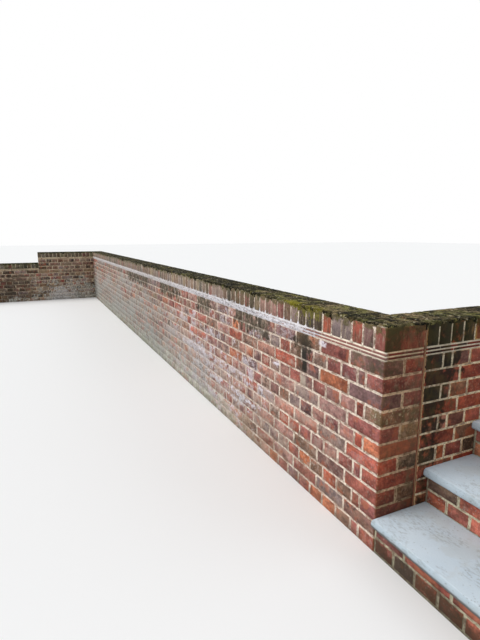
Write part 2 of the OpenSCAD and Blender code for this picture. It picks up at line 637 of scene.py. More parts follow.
        # The salt turns greyer beyond two metres: partly its own colour, partly painted shade.
        white = r.mix(r.times(r.eased(d, 2.0, 3.4), 0.7), white, (166, 160, 154))
        r.coat(white, salt, r.plus(cover, r.times(strong, 0.16)))
        veil = r.times(r.eased(d, 0.3, 2.2, 0.1, 1.0), r.eased(r.z, 0.86, 0.35, 0.35, 1.0), front)
        veil = r.times(veil, r.eased(small, -0.4, 0.9))
        r.coat((160, 144, 138), veil, 0.26)
        dry = r.times(r.eased(d, 2.6, 4.4), r.eased(r.z, 0.86, 0.30, 0.26, 0.60))
        dry = r.times(r.patch(dry, grain, 0.4), thin)
        r.coat((190, 188, 180), dry, front, 0.48)
        ashen = r.times(r.eased(d, 1.1, 2.4), r.eased(r.z, 0.56, 0.14), front)
        ashen = r.times(ashen, r.eased(small, 0.3, 0.7, 0.5, 1.0), 0.46)
        r.coat((150, 160, 156), ashen)
        crumbly = r.noise(11.0, 5.0, 0.75, stretch=(0.7, 1.0, 1.0))
        crumbly = r.eased(r.plus(r.times(crumbly, 0.7), r.times(fine, 0.3)), 0.34, 0.66)
        foot = r.times(r.patch(r.eased(r.z, 0.25, 0.02, 0.0, 0.74), crumbly, 0.35), thin)
        foot = r.times(foot, r.eased(d, 0.7, 1.6, 0.34, 0.90), front, cover + 0.3)
        crust = r.mix(r.eased(d, 0.9, 2.0), (168, 130, 106), (180, 178, 166))
        crust = r.lit(crust, r.eased(small, 0.3, 0.7, 0.74, 1.26))
        green = r.patch(r.eased(r.z, 0.12, 0.02, 0.0, 0.6), r.noise(9.0), 0.3)
        crust = r.mix(r.times(green, r.eased(d, 0.6, 1.5), 0.5), crust, (132, 134, 106))
        r.coat(crust, foot)

    def mould(self) -> None:
        """Lays the dark mould below the coping."""
        r, d, front = self.r, self.d, self.front
        level = r.eased(d, 0.1, 1.6, 0.12, 0.22)
        for middle, half in self.mould_places:
            level = r.plus(level, r.times(r.band(d, middle - half, middle + half, 0.12), 0.42))
        level = r.times(level, r.eased(r.z, 0.68, 0.79), r.eased(r.z, 0.90, 0.872))
        blotch = r.noise(19.0, 5.0, 0.70)
        mould = r.times(r.patch(level, blotch, 0.25), front)
        dark = r.mix(r.eased(blotch, 0.62, 0.42), (54, 49, 37), (108, 100, 82))
        r.coat(dark, mould, 0.64 if r.ground is Ground.MORTAR else 0.88)

    def coping_grime(self) -> None:
        """Lays the olive grime of the coping, thickest between one and two metres out."""
        r, d = self.r, self.d
        level = r.plus(r.eased(d, 0.5, 1.2, 0.10, 0.52), r.eased(d, 1.5, 2.0, 0.0, -0.40))
        grime = r.patch(level, r.noise(48.0, stretch=(1.0, 1.0, 0.3)), 0.4)
        r.coat((96, 92, 72), grime, 0.7)
        # Moss creeps down over the bricks on edge half a metre from the quoin
        level = r.times(r.band(d, 0.45, 0.70, 0.06), r.eased(r.z, 0.930, 0.990, 0.12, 0.84))
        clumps = r.eased(r.noise(34.0, 4.0, 0.7, stretch=(1.0, 1.0, 0.5)), 0.30, 0.70)
        moss = r.patch(level, clumps, 0.3)
        green = r.mix(r.noise(90.0), (66, 62, 26), (140, 132, 56))
        r.coat(green, moss, 0.84)
        r.coat((190, 180, 162), r.eased(d, 1.5, 2.0, 0.0, 0.14))

    def leach(self) -> None:
        """Lays the white lime that leached out of the creasing and ran down."""
        r, d, front = self.r, self.d, self.front
        tiled = r.ground is Ground.TILE
        reach = r.eased(d, LEACH_FROM - 0.32, LEACH_FROM + 0.25)
        if tiled or r.ground is Ground.MORTAR:
            creasing = r.band(r.z, 0.866, 0.918, 0.010)
            level = r.times(creasing, reach, 0.42 if tiled else 0.80)
            thin = r.eased(d, 0.15, 0.65, 0.04, 0.24 if tiled else 0.40)
            cover = r.patch(r.plus(level, r.times(creasing, thin)), r.noise(40.0), 0.4)
            if tiled:
                r.coat((200, 172, 160), creasing, front, 0.26)
            else:
                limy = r.times(creasing, r.spread(front, 0.40, 0.78))
                r.coat(r.mix(front, (238, 214, 174), (254, 242, 224)), limy)
        else:
            foot = r.times(r.eased(r.z, 0.858, 0.870), r.eased(r.z, 0.932, 0.907))
            runs = r.noise(30.0, stretch=(1.0, 1.0, 0.16))
            cover = r.patch(r.times(foot, reach, 0.40), runs, 0.25)
        white = r.mix(r.noise(70.0), (188, 182, 183), (232, 228, 232))
        r.coat(white, cover, front, 0.9)


@dataclass(frozen=True)
class BackWallWeather(Weather):
    """The far return, which stands in the shade: brown bricks, some near black."""

    name: str = "far_return"
    kinds: Kinds = kinds_of(BROWN=4.4, TAN=3.6, DARK=3.4, GREY_PLUM=1.8, RED=0.9, PINK=0.5)
    joint: Shown = (238, 220, 190)

    def wear(self, place: Vector, spot: Spot, chance: random.Random) -> Wear:
        """See Weather.wear."""
        slow = noise.noise(Vector((place.y * 2.0, place.z * 4.0, 3.1)))
        mould = 0.18 + 0.4 * slow * ease(place.z, 0.5, 0.8) + chance.uniform(-0.2, 0.2)
        return Wear(0.5 + chance.uniform(-0.25, 0.25), max(mould, 0.0), chance.uniform(0.2, 0.6))

    def over(self, r: Recipe) -> None:
        """See Weather.over."""
        level = r.plus(r.eased(r.y, -1.6, -1.1, 0.46, 0.20), r.times(r.eased(r.z, 0.5, 0.3), 0.20))
        stained = r.patch(level, r.noise(7.0, 5.0, 0.68, stretch=(1.0, 0.7, 1.4)), 0.2)
        r.coat((66, 57, 45), stained, 0.62)
        bright = r.patch(0.34, r.noise(5.0, 4.0, 0.6), 0.5)
        r.coat((172, 148, 122), bright, r.eased(r.y, -2.4, -0.6), 0.5)
        if r.ground is Ground.TILE:
            r.coat((210, 190, 160), r.patch(0.62, r.noise(9.0), 0.3))
        if r.ground is Ground.COPING:
            r.dim((228, 250, 246))
        corner = r.times(r.eased(r.y, -1.7, -0.6), r.eased(r.z, 0.62, 0.26))
        heart = r.times(r.eased(r.z, 0.34, 0.18), r.band(r.y, -1.05, -0.55, 0.4))
        level = r.plus(r.times(corner, 0.60), r.times(heart, 0.30), r.eased(r.z, 0.24, 0.02, 0.0, 0.26))
        if r.bloom is not None:
            level = r.plus(level, r.times(r.plus(r.bloom, -0.5), 0.5))
        inner = r.times(r.eased(r.x, -4.53, -4.51), r.eased(r.y, 0.0, -0.1))
        fine = r.noise(38.0, 5.0, 0.75)
        grain = r.plus(r.times(r.noise(9.0, 5.0, 0.7), 0.6), r.times(fine, 0.4))
        salt = r.patch(level, r.eased(grain, 0.34, 0.66), 0.4)
        salt = r.times(salt, inner, r.eased(fine, 0.34, 0.60, 0.5, 1.0))
        pale = r.mix(r.eased(fine, 0.3, 0.7), (158, 158, 146), (226, 226, 218))
        pale = r.mix(r.times(heart, 0.7), pale, (244, 244, 248))
        r.coat(pale, salt, 0.62 if r.bloom is None else 0.82)


@dataclass(frozen=True)
class NearReturnWeather(Weather):
    """The return beside the steps: black algae along the straight joint, and tan mortar and warm bricks
    whose tint is partly their own colour and partly painted shade.
    """

    name: str = "near_return"
    kinds: Kinds = kinds_of(BRIGHT_RED=4.0, RED=3.0, ORANGE=1.5, BROWN=2.5, TAN=1.6, PLUM=0.6)
    coping_kinds: Kinds = kinds_of(DARK=2.0, BROWN=2.0, BRIGHT_RED=2.6, PLUM=1.0)
    # The joint's tan is partly the mortar's own colour and partly painted shade for this shaded side.
    joint: Shown = (244, 226, 192)
    joint_y: float = 0.1205

    def fired(self, spot: Spot, chance: random.Random) -> Fired:
        """See Weather.fired; the bricks beside the straight joint are named."""
        kind = self.choose(self.kinds, chance)
        return kind if spot.leaf else NOTED_RETURN.get((spot.course, spot.index), kind)

    def coping_fired(self, index: int, chance: random.Random) -> Fired:
        """See Weather.coping_fired."""
        return NOTED_RETURN_COPING.get(index, self.choose(self.coping_kinds, chance))

    def wear(self, place: Vector, spot: Spot, chance: random.Random) -> Wear:
        """See Weather.wear."""
        near = ease(place.y - self.joint_y, 0.18, 0.08)
        return Wear(0.5, near * chance.uniform(0.15, 0.60), chance.uniform(0.05, 0.30))

    def over(self, r: Recipe) -> None:
        """See Weather.over."""
        if r.ground is Ground.MORTAR:
            creasing = r.band(r.z, 0.866, 0.912, 0.003)
            r.coat((254, 240, 214), creasing, 0.6)
        else:
            # A warmer, darker tint on bricks, tiles and coping: partly their own colour, partly painted
            # shade for this side.
            r.dim((234, 202, 142) if r.ground is Ground.COPING else (248, 222, 196))
        s = r.plus(r.y, -self.joint_y)
        broad = r.noise(12.0)
        edge = r.plus(s, r.times(r.plus(broad, -0.5), 0.14), r.eased(r.z, 0.60, 0.85, 0.0, -0.08))
        growth = r.times(r.eased(edge, 0.20, 0.09, 0.0, 0.76), r.eased(s, 0.0, 0.012))
        growth = r.times(growth, r.eased(r.z, 0.42, 0.66, 0.66, 1.0))
        cover = r.patch(growth, r.noise(26.0, 5.0, 0.70), 0.55)
        outer = r.eased(r.x, 4.47, 4.49)
        black = r.mix(r.eased(broad, 0.3, 0.7), (19, 15, 4), (54, 46, 20))
        r.coat(black, cover, outer, 0.24 if r.ground is Ground.MORTAR else 0.92)
        if r.ground is Ground.COPING:
            algae = r.patch(0.52, r.noise(13.0, 4.0, 0.7), 0.5)
            r.coat((42, 42, 10), algae, 0.66)
        damp = r.patch(r.eased(r.z, 0.1, 0.7, 0.34, 0.14), r.noise(6.0, 3.0), 0.4)
        r.coat((88, 66, 48), damp, 0.3)


def placed_kinds(**places: str) -> dict[tuple[int, int], Fired]:
    """Reads where the bricks of each kind lie.

    Args:
        places: For each kind its bricks, each as course.number in the course.

    Returns:
        The kinds by course and number.
    """
    noted: dict[tuple[int, int], Fired] = {}
    for kind, bricks in places.items():
        for brick in bricks.split():
            course, index = map(int, brick.split("."))
            noted[course, index] = Fired[kind]
    return noted


def listed_kinds(names: str, start: int = 0, step: int = 1) -> dict[int, Fired]:
    """Returns kinds by number from a list of names, where a dash leaves one out."""
    named = enumerate(names.split())
    return {start + step * place: Fired[name] for place, name in named if name != "-"}


# Bricks of the fair face that stand out near the quoin
NOTED_BRICKS = placed_kinds(
    ORANGE="6.0 3.1 10.5 6.14 12.3",
    BRIGHT_RED="7.0 8.0 4.1 6.1 10.1 3.6 8.7 3.3 6.13 8.6",
    RED="2.0 5.0 9.0 2.2 2.3 10.0 1.1 8.1 8.2 8.5 4.6 6.3 6.10",
    PLUM="1.0 3.0 2.1 6.5 2.10 4.5 9.1",
    GREY_PLUM="5.2 6.6 4.8 2.8 7.4",
    PINK="3.4 4.2 5.1 6.2 6.4 8.3 7.2 7.3 9.3 5.3 4.7",
    BROWN="4.0 2.4 10.2 10.4 1.2 2.6 9.2 3.5",
)
# Bricks of the near return beside the straight joint
NOTED_RETURN = placed_kinds(
    ORANGE="7.1",
    BRIGHT_RED="2.1 4.1 4.0",
    RED="1.3 1.4 3.3 5.3 7.2 2.0 6.0",
    PINK="5.1",
    PLUM="5.2 1.2",
    BROWN="3.1 3.2 6.1 5.0",
    DARK="1.0 1.1 3.0 7.0 7.3",
)
# The bricks behind the quoin in odd courses, whose ends show beside the straight joint
NOTED_REAR = listed_kinds("BRIGHT_RED RED TAN DARK BROWN", start=1, step=2)
# Bricks of the near return's coping from the straight joint, and of the other from the quoin
NOTED_RETURN_COPING = listed_kinds("DARK BROWN BRIGHT_RED DARK RED")
NOTED_COPING = listed_kinds(
    "RED PLUM BRIGHT_RED GREY_PLUM GREY_PLUM BRIGHT_RED DARK "
    "DARK DARK GREY_PLUM - RED PINK PINK PINK"
)


@dataclass(frozen=True)
class MasonryFinish:
    """Weathered brick, coping, tile or mortar under one kind of weather."""

    weather: Weather
    ground: Ground

    @cached_property
    def r(self) -> Recipe:
        """The recipe that the finish is written into."""
        return Recipe(f"{self.weather.name}_{self.ground.value}", self.ground)

    def material(self) -> Material:
        """Returns the finished material."""
        makers = {
            Ground.BRICK: self.brick,
            Ground.COPING: self.coping,
            Ground.TILE: self.tile,
            Ground.MORTAR: self.mortar,
        }
        return makers[self.ground]()

    def brick(self) -> Material:
        """Writes burnt clay with kiln marks, pits, dust and mortar at its arrises."""
        r = self.r
        clay, seed = r.attribute("clay")
        wear, lichen = r.attribute("wear")
        r.bloom, mould, dust = r.parted(wear)
        own = r.own_place(seed)
        cloud = r.noise(15.0, 4.0, 0.6, own)
        mottle = r.noise(62.0, 4.0, 0.68, own)
        grit = r.noise(420.0, 2.0)
        tone = r.times(r.spread(cloud, 0.64, 1.38), r.eased(mottle, 0.3, 0.7, 0.80, 1.24))
        r.colour = r.lit(clay, r.times(tone, r.spread(grit, 0.90, 1.10)))
        burnt = r.patch(0.28, r.noise(19.0, 4.0, 0.62, own), 0.3)
        r.coat((94, 74, 62), burnt, 0.34)
        specks = r.patch(r.plus(r.times(dust, 0.30), 0.14), r.noise(130.0, 3.0, 0.6, own), 0.25)
        r.coat((204, 188, 176), specks, 0.55)
        kiss = r.patch(0.34, r.noise(8.0, 3.0, 0.5, own, (0.7, 0.7, 1.7)), 0.2)
        r.dim((196, 182, 190), kiss, 0.7)
        warm = r.patch(0.32, r.noise(14.0, 4.0, 0.6, own), 0.25)
        r.coat((194, 112, 82), warm, 0.5)
        pits = r.times(r.spots(150.0, 0.2, own), r.eased(mottle, 0.45, 0.6))
        r.coat((64, 50, 44), pits, 0.5)
        powder = r.patch(dust, r.noise(26.0, 5.0, 0.66, own), 0.4)
        r.coat((182, 160, 148), powder, 0.55)
        self.smear(cloud)
        grown = r.patch(mould, r.noise(30.0, 5.0, 0.68, own), 0.4)
        r.coat(r.mix(cloud, (60, 56, 44), (92, 84, 64)), grown, 0.75)
        crust = r.patch(r.times(lichen, 0.66), r.noise(22.0, 5.0, 0.75), 0.2)
        r.coat((118, 102, 70), crust, 0.66)
        spots = r.times(r.patch(0.30, r.noise(75.0, 4.0, 0.7), 0.12), r.eased(lichen, 0.2, 0.6))
        r.coat((198, 194, 172), spots, 0.75)
        self.weather.over(r)
        relief = r.plus(r.times(mottle, 0.6), r.times(grit, 0.4), r.times(pits, -0.5))
        return r.done(r.spread(mottle, 0.82, 0.95), relief, 0.0016)

    def smear(self, cloud: Socket) -> None:
        """Lets the mortar run raggedly over the arrises.

        Args:
            cloud: Broad noise on the brick.
        """
        r = self.r
        rims, last = r.attribute("rims")
        near = reduce(partial(r.math, "MINIMUM"), (*r.parted(rims), last))
        free = self.weather.free_arris
        near = r.plus(near, r.eased(r.minus(r.x, r.y), free - 0.005, free - 0.003, 0.0, 0.1))
        ragged = r.times(r.noise(70.0, 4.0, 0.7), 0.0056)
        width = r.plus(ragged, r.times(r.eased(cloud, 0.6, 1.0), 0.0018), -0.0019)
        smear = r.eased(r.minus(near, width), 0.0008, -0.0004)
        rim = r.eased(near, 0.006, 0.0)
        r.dim((190, 176, 168), rim, 0.35)
        r.coat(self.weather.joint, smear, 0.88)

    def coping(self) -> Material:
        """Writes bricks on edge with dirt run down them from the moss above."""
        r = self.r
        clay, seed = r.attribute("clay")
        own = r.own_place(seed)
        cloud = r.noise(16.0, 4.0, 0.6, own)
        mottle = r.noise(80.0, 4.0, 0.65, own)
        grit = r.noise(430.0, 2.0)
        tone = r.times(r.spread(cloud, 0.82, 1.22), r.spread(mottle, 0.84, 1.16))
        r.colour = r.lit(clay, r.times(tone, r.spread(grit, 0.9, 1.1)))
        pale = r.patch(0.34, r.noise(80.0, 3.0, 0.6, own, (1.0, 1.0, 0.25)), 0.5)
        r.coat((188, 168, 148), pale, 0.46)
        dark = r.patch(0.34, r.noise(34.0, 4.0, 0.6, own, (1.0, 1.0, 0.22)), 0.4)
        r.coat((72, 62, 50), dark, 0.66)
        specks = r.patch(0.20, r.noise(150.0, 3.0, 0.6, own), 0.25)
        r.coat((198, 188, 172), specks, 0.5)
        self.smear(cloud)
        below = r.minus(self.weather.ledge, r.z)
        hang = r.plus(below, r.times(r.noise(26.0, 4.0, 0.7), -0.060))
        film = r.eased(hang, 0.010, -0.012)
        green = r.mix(r.noise(95.0, 3.0), (50, 46, 30), (120, 110, 68))
        r.coat(green, film, 0.84)
        self.weather.over(r)
        return r.done(0.9, r.plus(r.times(mottle, 0.6), r.times(grit, 0.4)), 0.0016)

    def tile(self) -> Material:
        """Writes the cut edges of dark red clay tiles."""
        r = self.r
        clay, seed = r.attribute("clay")
        cloud = r.noise(24.0, 4.0, 0.6, r.own_place(seed))
        grit = r.noise(300.0, 3.0)
        tone = r.times(r.spread(cloud, 0.82, 1.18), r.spread(grit, 0.88, 1.12))
        r.colour = r.lit(clay, tone)
        smear = r.patch(0.20, r.noise(60.0), 0.2)
        r.coat(self.weather.joint, smear, 0.5)
        self.weather.over(r)
        return r.done(0.88, grit, 0.0012)

    def mortar(self) -> Material:
        """Writes lime mortar with sand in it."""
        r = self.r
        sand = r.noise(620.0, 2.0)
        lumps = r.noise(90.0)
        tone = r.times(r.spread(sand, 0.86, 1.12), r.spread(lumps, 0.72, 1.26))
        r.colour = r.lit(self.weather.joint, tone)
        aged = r.patch(0.46, r.noise(24.0, 5.0, 0.75), 0.25)
        r.coat((146, 116, 98), aged, 0.8)
        holes = r.times(r.spots(90.0, 0.26), r.eased(lumps, 0.45, 0.6))
        r.coat((84, 68, 56), holes, 0.7)
        self.weather.over(r)
        return r.done(0.94, r.plus(r.times(lumps, 0.6), r.times(sand, 0.4)), 0.0018)


@dataclass(frozen=True)
class StoneFinish:
    """Pale grey sawn sandstone with fine beds and dark flecks; painted shade darkens each nosing's front,
    and soil and painted shade the lower edge of the first.
    """

    name: str = "tread_stone"
    first_nose_y: float = -0.1325
    first_top: float = 0.166
    rise: float = 0.172
    going: float = 0.293

    def material(self) -> Material:
        """Returns the finished material."""
        r = Recipe(self.name)
        along = r.plus(r.y, 0.001 - self.first_nose_y)
        nose = r.math("MODULO", along, self.going)
        steps_up = r.math("FLOOR", r.times(along, 1.0 / self.going))
        under = r.plus(r.z, -self.first_top, r.times(steps_up, -self.rise))
        own_nose = r.eased(under, -0.07, -0.06)
        bed = r.noise(9.0, 5.0, 0.6, stretch=(0.35, 1.0, 1.0))
        grit = r.noise(520.0, 2.0)
        r.colour = r.mix(r.noise(3.2, 5.0, 0.55), (194, 209, 221), (212, 224, 234))
        r.coat((216, 221, 221), bed, 0.3)
        r.shade(r.spread(grit, 0.93, 1.06))
        riven = r.eased(r.noise(96.0, 4.0, 0.75, stretch=(0.40, 1.0, 1.0)), 0.34, 0.66)
        riven = r.times(r.patch(0.22, riven, 0.3), r.eased(r.noise(7.0, 3.0), 0.40, 0.62))
        r.coat((140, 144, 144), riven, 0.36)
        flecks = r.times(r.spots(70.0, 0.15), r.eased(r.noise(12.0), 0.45, 0.56))
        r.coat((108, 106, 100), flecks, 0.54)
        stain = r.patch(0.24, r.eased(r.noise(5.0, 4.0, 0.65), 0.3, 0.7), 0.4)
        r.coat((176, 170, 152), stain, 0.14)
        line = r.band(r.plus(nose, r.times(r.noise(30.0), 0.002)), 0.0150, 0.0156, 0.002)
        line = r.times(line, own_nose, r.eased(r.noise(9.0), 0.40, 0.56))
        r.coat((112, 112, 106), line, 0.5)
        # Painted shade: the front of each nosing is darkened.
        front = r.times(r.eased(nose, 0.014, 0.005), own_nose)
        r.dim((223, 227, 228), front)
        # The lower edge of the first tread's nosing is darkened: soil, and painted shade under the edge.
        low = r.plus(r.z, r.times(r.noise(24.0, 4.0, 0.7), 0.004))
        r.coat((78, 66, 56), r.eased(low, 0.1515, 0.1425), 0.8)
        return r.done(0.72, grit, 0.0006)


@dataclass(frozen=True)
class FillerFinish:
    """The straight joint's filling: a tan bead beside a strip of red clay dust."""

    name: str = "joint_filler"
    bead_y: float = 0.1162

    def material(self) -> Material:
        """Returns the finished material."""
        r = Recipe(self.name)
        wander = r.times(r.plus(r.noise(11.0, 3.0), -0.5), 0.006)
        aside = r.math("ABSOLUTE", r.plus(r.y, -self.bead_y, wander))
        bead = r.eased(aside, 0.0036, 0.0018)
        fine = r.noise(260.0, 3.0)
        red = r.mix(fine, (108, 58, 42), (142, 80, 58))
        tan = r.mix(fine, (152, 120, 88), (180, 148, 110))
        worn = r.patch(0.30, r.noise(16.0), 0.3)
        r.colour = r.mix(r.times(worn, 0.6), r.mix(bead, red, tan), (92, 74, 56))
        return r.done(0.85, fine, 0.0015)


@dataclass(frozen=True)
class MossFinish:
    """Moss and crumbs on the coping, from brown to yellow green, darker in drifts beyond the first metre:
    partly litter, partly painted shadow.
    """

    name: str = "coping_moss"

    def material(self) -> Material:
        """Returns the finished material."""
        r = Recipe(self.name)
        tuft = r.noise(34.0, 5.0, 0.75)
        fine = r.noise(300.0, 3.0, 0.7)
        clump = r.noise(15.0, 4.0, 0.7)
        brown = r.mix(r.eased(tuft, 0.32, 0.68), (26, 23, 16), (124, 108, 80))
        olive = r.mix(r.eased(tuft, 0.32, 0.68), (30, 31, 16), (112, 108, 62))
        r.colour = r.mix(r.eased(r.noise(8.0), 0.3, 0.7), brown, olive)
        r.shade(r.eased(clump, 0.3, 0.7, 0.5, 1.5))
        # Dark drifts over the moss from about a metre beyond the quoin: partly dark litter, partly painted
        # shadow.
        litter_and_shadow_drifts = r.eased(r.noise(6.0, 4.0, 0.6, stretch=(0.6, 1.0, 1.0)), 0.36, 0.64)
        shade = r.patch(r.eased(r.x, 3.7, 3.1, 0.14, 0.84), litter_and_shadow_drifts, 0.5)
        r.coat((23, 24, 15), shade, 0.9)
        heaps = r.noise(9.0, 4.0, 0.65, stretch=(0.45, 1.0, 1.0))
        r.shade(r.eased(heaps, 0.34, 0.66, 0.62, 1.3))
        bright = r.times(r.eased(tuft, 0.45, 0.8), r.patch(0.30, r.noise(13.0, 3.0), 0.3))
        r.coat((152, 144, 72), bright, 0.7)
        lush = r.plus(r.band(r.x, 3.68, 3.85, 0.08), r.times(r.band(r.x, 3.91, 4.05, 0.06), 0.6))
        lush = r.times(lush, r.eased(r.y, -0.03, -0.08))
        r.coat((168, 160, 50), lush, r.eased(tuft, 0.1, 0.8), 0.8)
        bare = r.times(r.patch(0.26, r.noise(22.0, 4.0, 0.7), 0.3), r.eased(r.z, 1.002, 1.010))
        r.coat((58, 50, 40), bare, 0.6)
        r.shade(r.spread(fine, 0.45, 1.5))
        dry = r.times(r.patch(0.30, r.noise(150.0, 3.0, 0.7), 0.15), r.eased(r.noise(15.0), 0.2, 0.8))
        r.coat((164, 150, 112), dry, 0.7)
        crumbs = r.times(r.spots(40.0, 0.27), r.patch(0.38, r.noise(60.0, 3.0), 0.1))
        r.coat((196, 186, 156), crumbs, 0.9)
        return r.done(0.97, r.plus(r.times(tuft, 0.6), r.times(fine, 0.4)), 0.008, 0.1)


@dataclass(frozen=True)
class LimeFinish:
    """The white crust that leached out of the creasing."""

    name: str = "lime_crust"

    def material(self) -> Material:
        """Returns the finished material."""
        r = Recipe(self.name)
        lumps = r.noise(46.0, 5.0, 0.70, stretch=(0.5, 1.0, 1.6))
        fine = r.noise(330.0, 3.0)
        r.colour = r.mix(r.eased(lumps, 0.1, 0.7), (156, 153, 157), (236, 233, 241))
        r.coat((242, 240, 243), r.band(r.z, 0.899, 0.91, 0.005), 0.6)
        r.coat((176, 168, 160), r.eased(r.x, 3.3, 0.6), 0.5)
        dirt = r.patch(r.eased(r.x, 3.8, 3.0, 0.24, 0.36), r.noise(34.0, 4.0, 0.7), 0.3)
        r.coat((128, 116, 112), dirt, 0.6)
        r.shade(r.times(r.eased(r.x, 3.55, 3.25, 0.96, 0.86), r.eased(r.x, 2.4, 2.0, 1.0, 1.1)))
        return r.done(0.9, r.plus(r.times(lumps, 0.6), r.times(fine, 0.4)), 0.002)


@dataclass(frozen=True)
class WallFinishes:
    """The finishes of one wall, all under the same weather."""

    weather: Weather
    brick: Material
    coping: Material
    tile: Material
    mortar: Material

    @classmethod
    def under(cls, weather: Weather) -> "WallFinishes":
        """Makes the finishes of a wall for what the open air has done to it."""
        order = (Ground.BRICK, Ground.COPING, Ground.TILE, Ground.MORTAR)
        return cls(weather, *[MasonryFinish(weather, ground).material() for ground in order])


def edges_along(bm: Mesh, axis: int) -> Edges:
    """Returns the edges that run along one axis."""
    ways = [(edge, edge.verts[1].co - edge.verts[0].co) for edge in bm.edges]
    return [edge for edge, way in ways if abs(way[axis]) > 0.99 * way.length]


def cut_box(low: Vector, high: Vector, cuts: tuple[int, ...] = (0, 0, 0)) -> Mesh:
    """Makes a closed box with its faces cut into a grid.

    Args:
        low: Its lowest corner.
        high: Its highest corner.
        cuts: Cuts across each axis.

    Returns:
        The mesh.
    """
    bm = bmesh.new()
    bmesh.ops.create_cube(bm, size=1.0)
    bmesh.ops.scale(bm, vec=high - low, verts=bm.verts)
    bmesh.ops.translate(bm, vec=(high + low) / 2.0, verts=bm.verts)
    for axis, count in enumerate(cuts):
        if count > 0:
            bmesh.ops.subdivide_edges(bm, edges=edges_along(bm, axis), cuts=count, use_grid_fill=True)
    return bm


def wear_down(bm: Mesh, edges: Edges, radius: float, segments: int) -> None:
    """Rounds some edges to a radius, with so many faces across each."""
    settings = {"offset_type": "OFFSET", "profile": 0.5, "affect": "EDGES", "material": -1}
    bmesh.ops.bevel(bm, geom=edges, offset=radius, segments=segments, **settings)


def sharp_edges(bm: Mesh, angle: float) -> Edges:
    """Returns the edges where the faces turn by more than an angle."""
    return [edge for edge in bm.edges if edge.calc_face_angle(0.0) > angle]


def middle_of(edge: bmesh.types.BMEdge) -> Vector:
    """Returns the middle of an edge."""
    return (edge.verts[0].co + edge.verts[1].co) / 2.0


def rounded(size: Vector, digits: int) -> list[float]:
    """Returns lengths rounded off."""
    return [round(length, digits) for length in size]


def show(
    bm: Mesh,
    name: str,
    material: Material,
    nodes: tuple[str, ...] = (),
    outward: bool = True,
) -> None:
    """Turns a mesh into an object, hangs it on the frame and reports it.

    Args:
        bm: The mesh, with its place in its vertices, which is freed.
        name: The object's name.
        material: Its finish.
        nodes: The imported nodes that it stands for.
        outward: Whether its faces have to be turned outwards.
    """
    if outward:
        bmesh.ops.recalc_face_normals(bm, faces=bm.faces)
    for vert in bm.verts:
        for axis in range(3):
            vert.co[axis] = min(max(vert.co[axis], CAD_LOW[axis]), CAD_HIGH[axis])
    for face in bm.faces:
        face.smooth = True
    data = bpy.data.meshes.new(name)
    bm.to_mesh(data)
    bm.free()
    data.materials.append(material)
    thing = bpy.data.objects.new(name, data)
    bpy.context.scene.collection.objects.link(thing)
    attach(thing, "root")
    if nodes:
        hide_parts(*nodes)
    LOG.info("%s: %d faces", name, len(data.polygons))


class Mould:
    """Worn brick shapes by size, each made once and copied for every brick laid."""

    made: dict[tuple[float, ...], Mesh] = {}

    @classmethod
    def brick(cls, size: Vector, fine: bool) -> Mesh:
        """Gives the shape for a brick or a tile.

        Args:
            size: Its length, depth and height.
            fine: Whether it is seen close by.

        Returns:
            The shape, which is copied and not changed.
        """
        key = (*rounded(size, 4), float(fine))
        if key not in cls.made:
            along = int(size.x > 0.15) + int(fine) * (1 + int(size.x > 0.15))
            bm = cut_box(size * -0.5, size * 0.5, (along, 0, int(fine and size.z > 0.03)))
            wear_down(bm, sharp_edges(bm, 0.5), min(0.0014, size.z * 0.12), 1)
            cls.mark_rims(bm, size)
            cls.made[key] = bm
        return cls.made[key]

    @classmethod
    def coping(cls, size: Vector, at_end: bool) -> Mesh:
        """Gives the shape for a brick on edge with rounded upper arrises.

        Args:
            size: Its width along the wall, depth across it and height.
            at_end: Whether its top is rounded at the end of the wall too.

        Returns:
            The shape, which is copied and not changed.
        """
        key = (*rounded(size, 4), 8.0 + at_end)
        if key not in cls.made:
            bm = cut_box(size * -0.5, size * 0.5)
            upper = []
            for edge in bm.edges:
                middle = middle_of(edge)
                if middle.z > size.z * 0.4 and (abs(middle.y) > 0.01 or (at_end and middle.x > 0.0)):
                    upper.append(edge)
            wear_down(bm, upper, COPING_ARRIS, 3)
            wear_down(bm, sharp_edges(bm, 0.7), 0.0016, 1)
            cls.mark_rims(bm, size)
            cls.made[key] = bm
        return cls.made[key]

    @staticmethod
    def mark_rims(bm: Mesh, size: Vector) -> None:
        """Writes on each face corner how far it is from the four edges of its side.

        Args:
            bm: The mesh, centred on the origin.
            size: The block's length, depth and height.
        """
        layer = bm.loops.layers.float_color.new("rims")
        half = size / 2.0
        for face in bm.faces:
            main = max(range(3), key=lambda axis: abs(face.normal[axis]))
            one, two = [axis for axis in range(3) if axis != main]
            for loop in face.loops:
                here = loop.vert.co
                if abs(face.normal[main]) > 0.9:
                    sides = (half[one] - here[one], half[one] + here[one])
                    loop[layer] = (*sides, half[two] - here[two], half[two] + here[two])
                else:
                    loop[layer] = (0.0, 0.0, 0.0, 0.0)


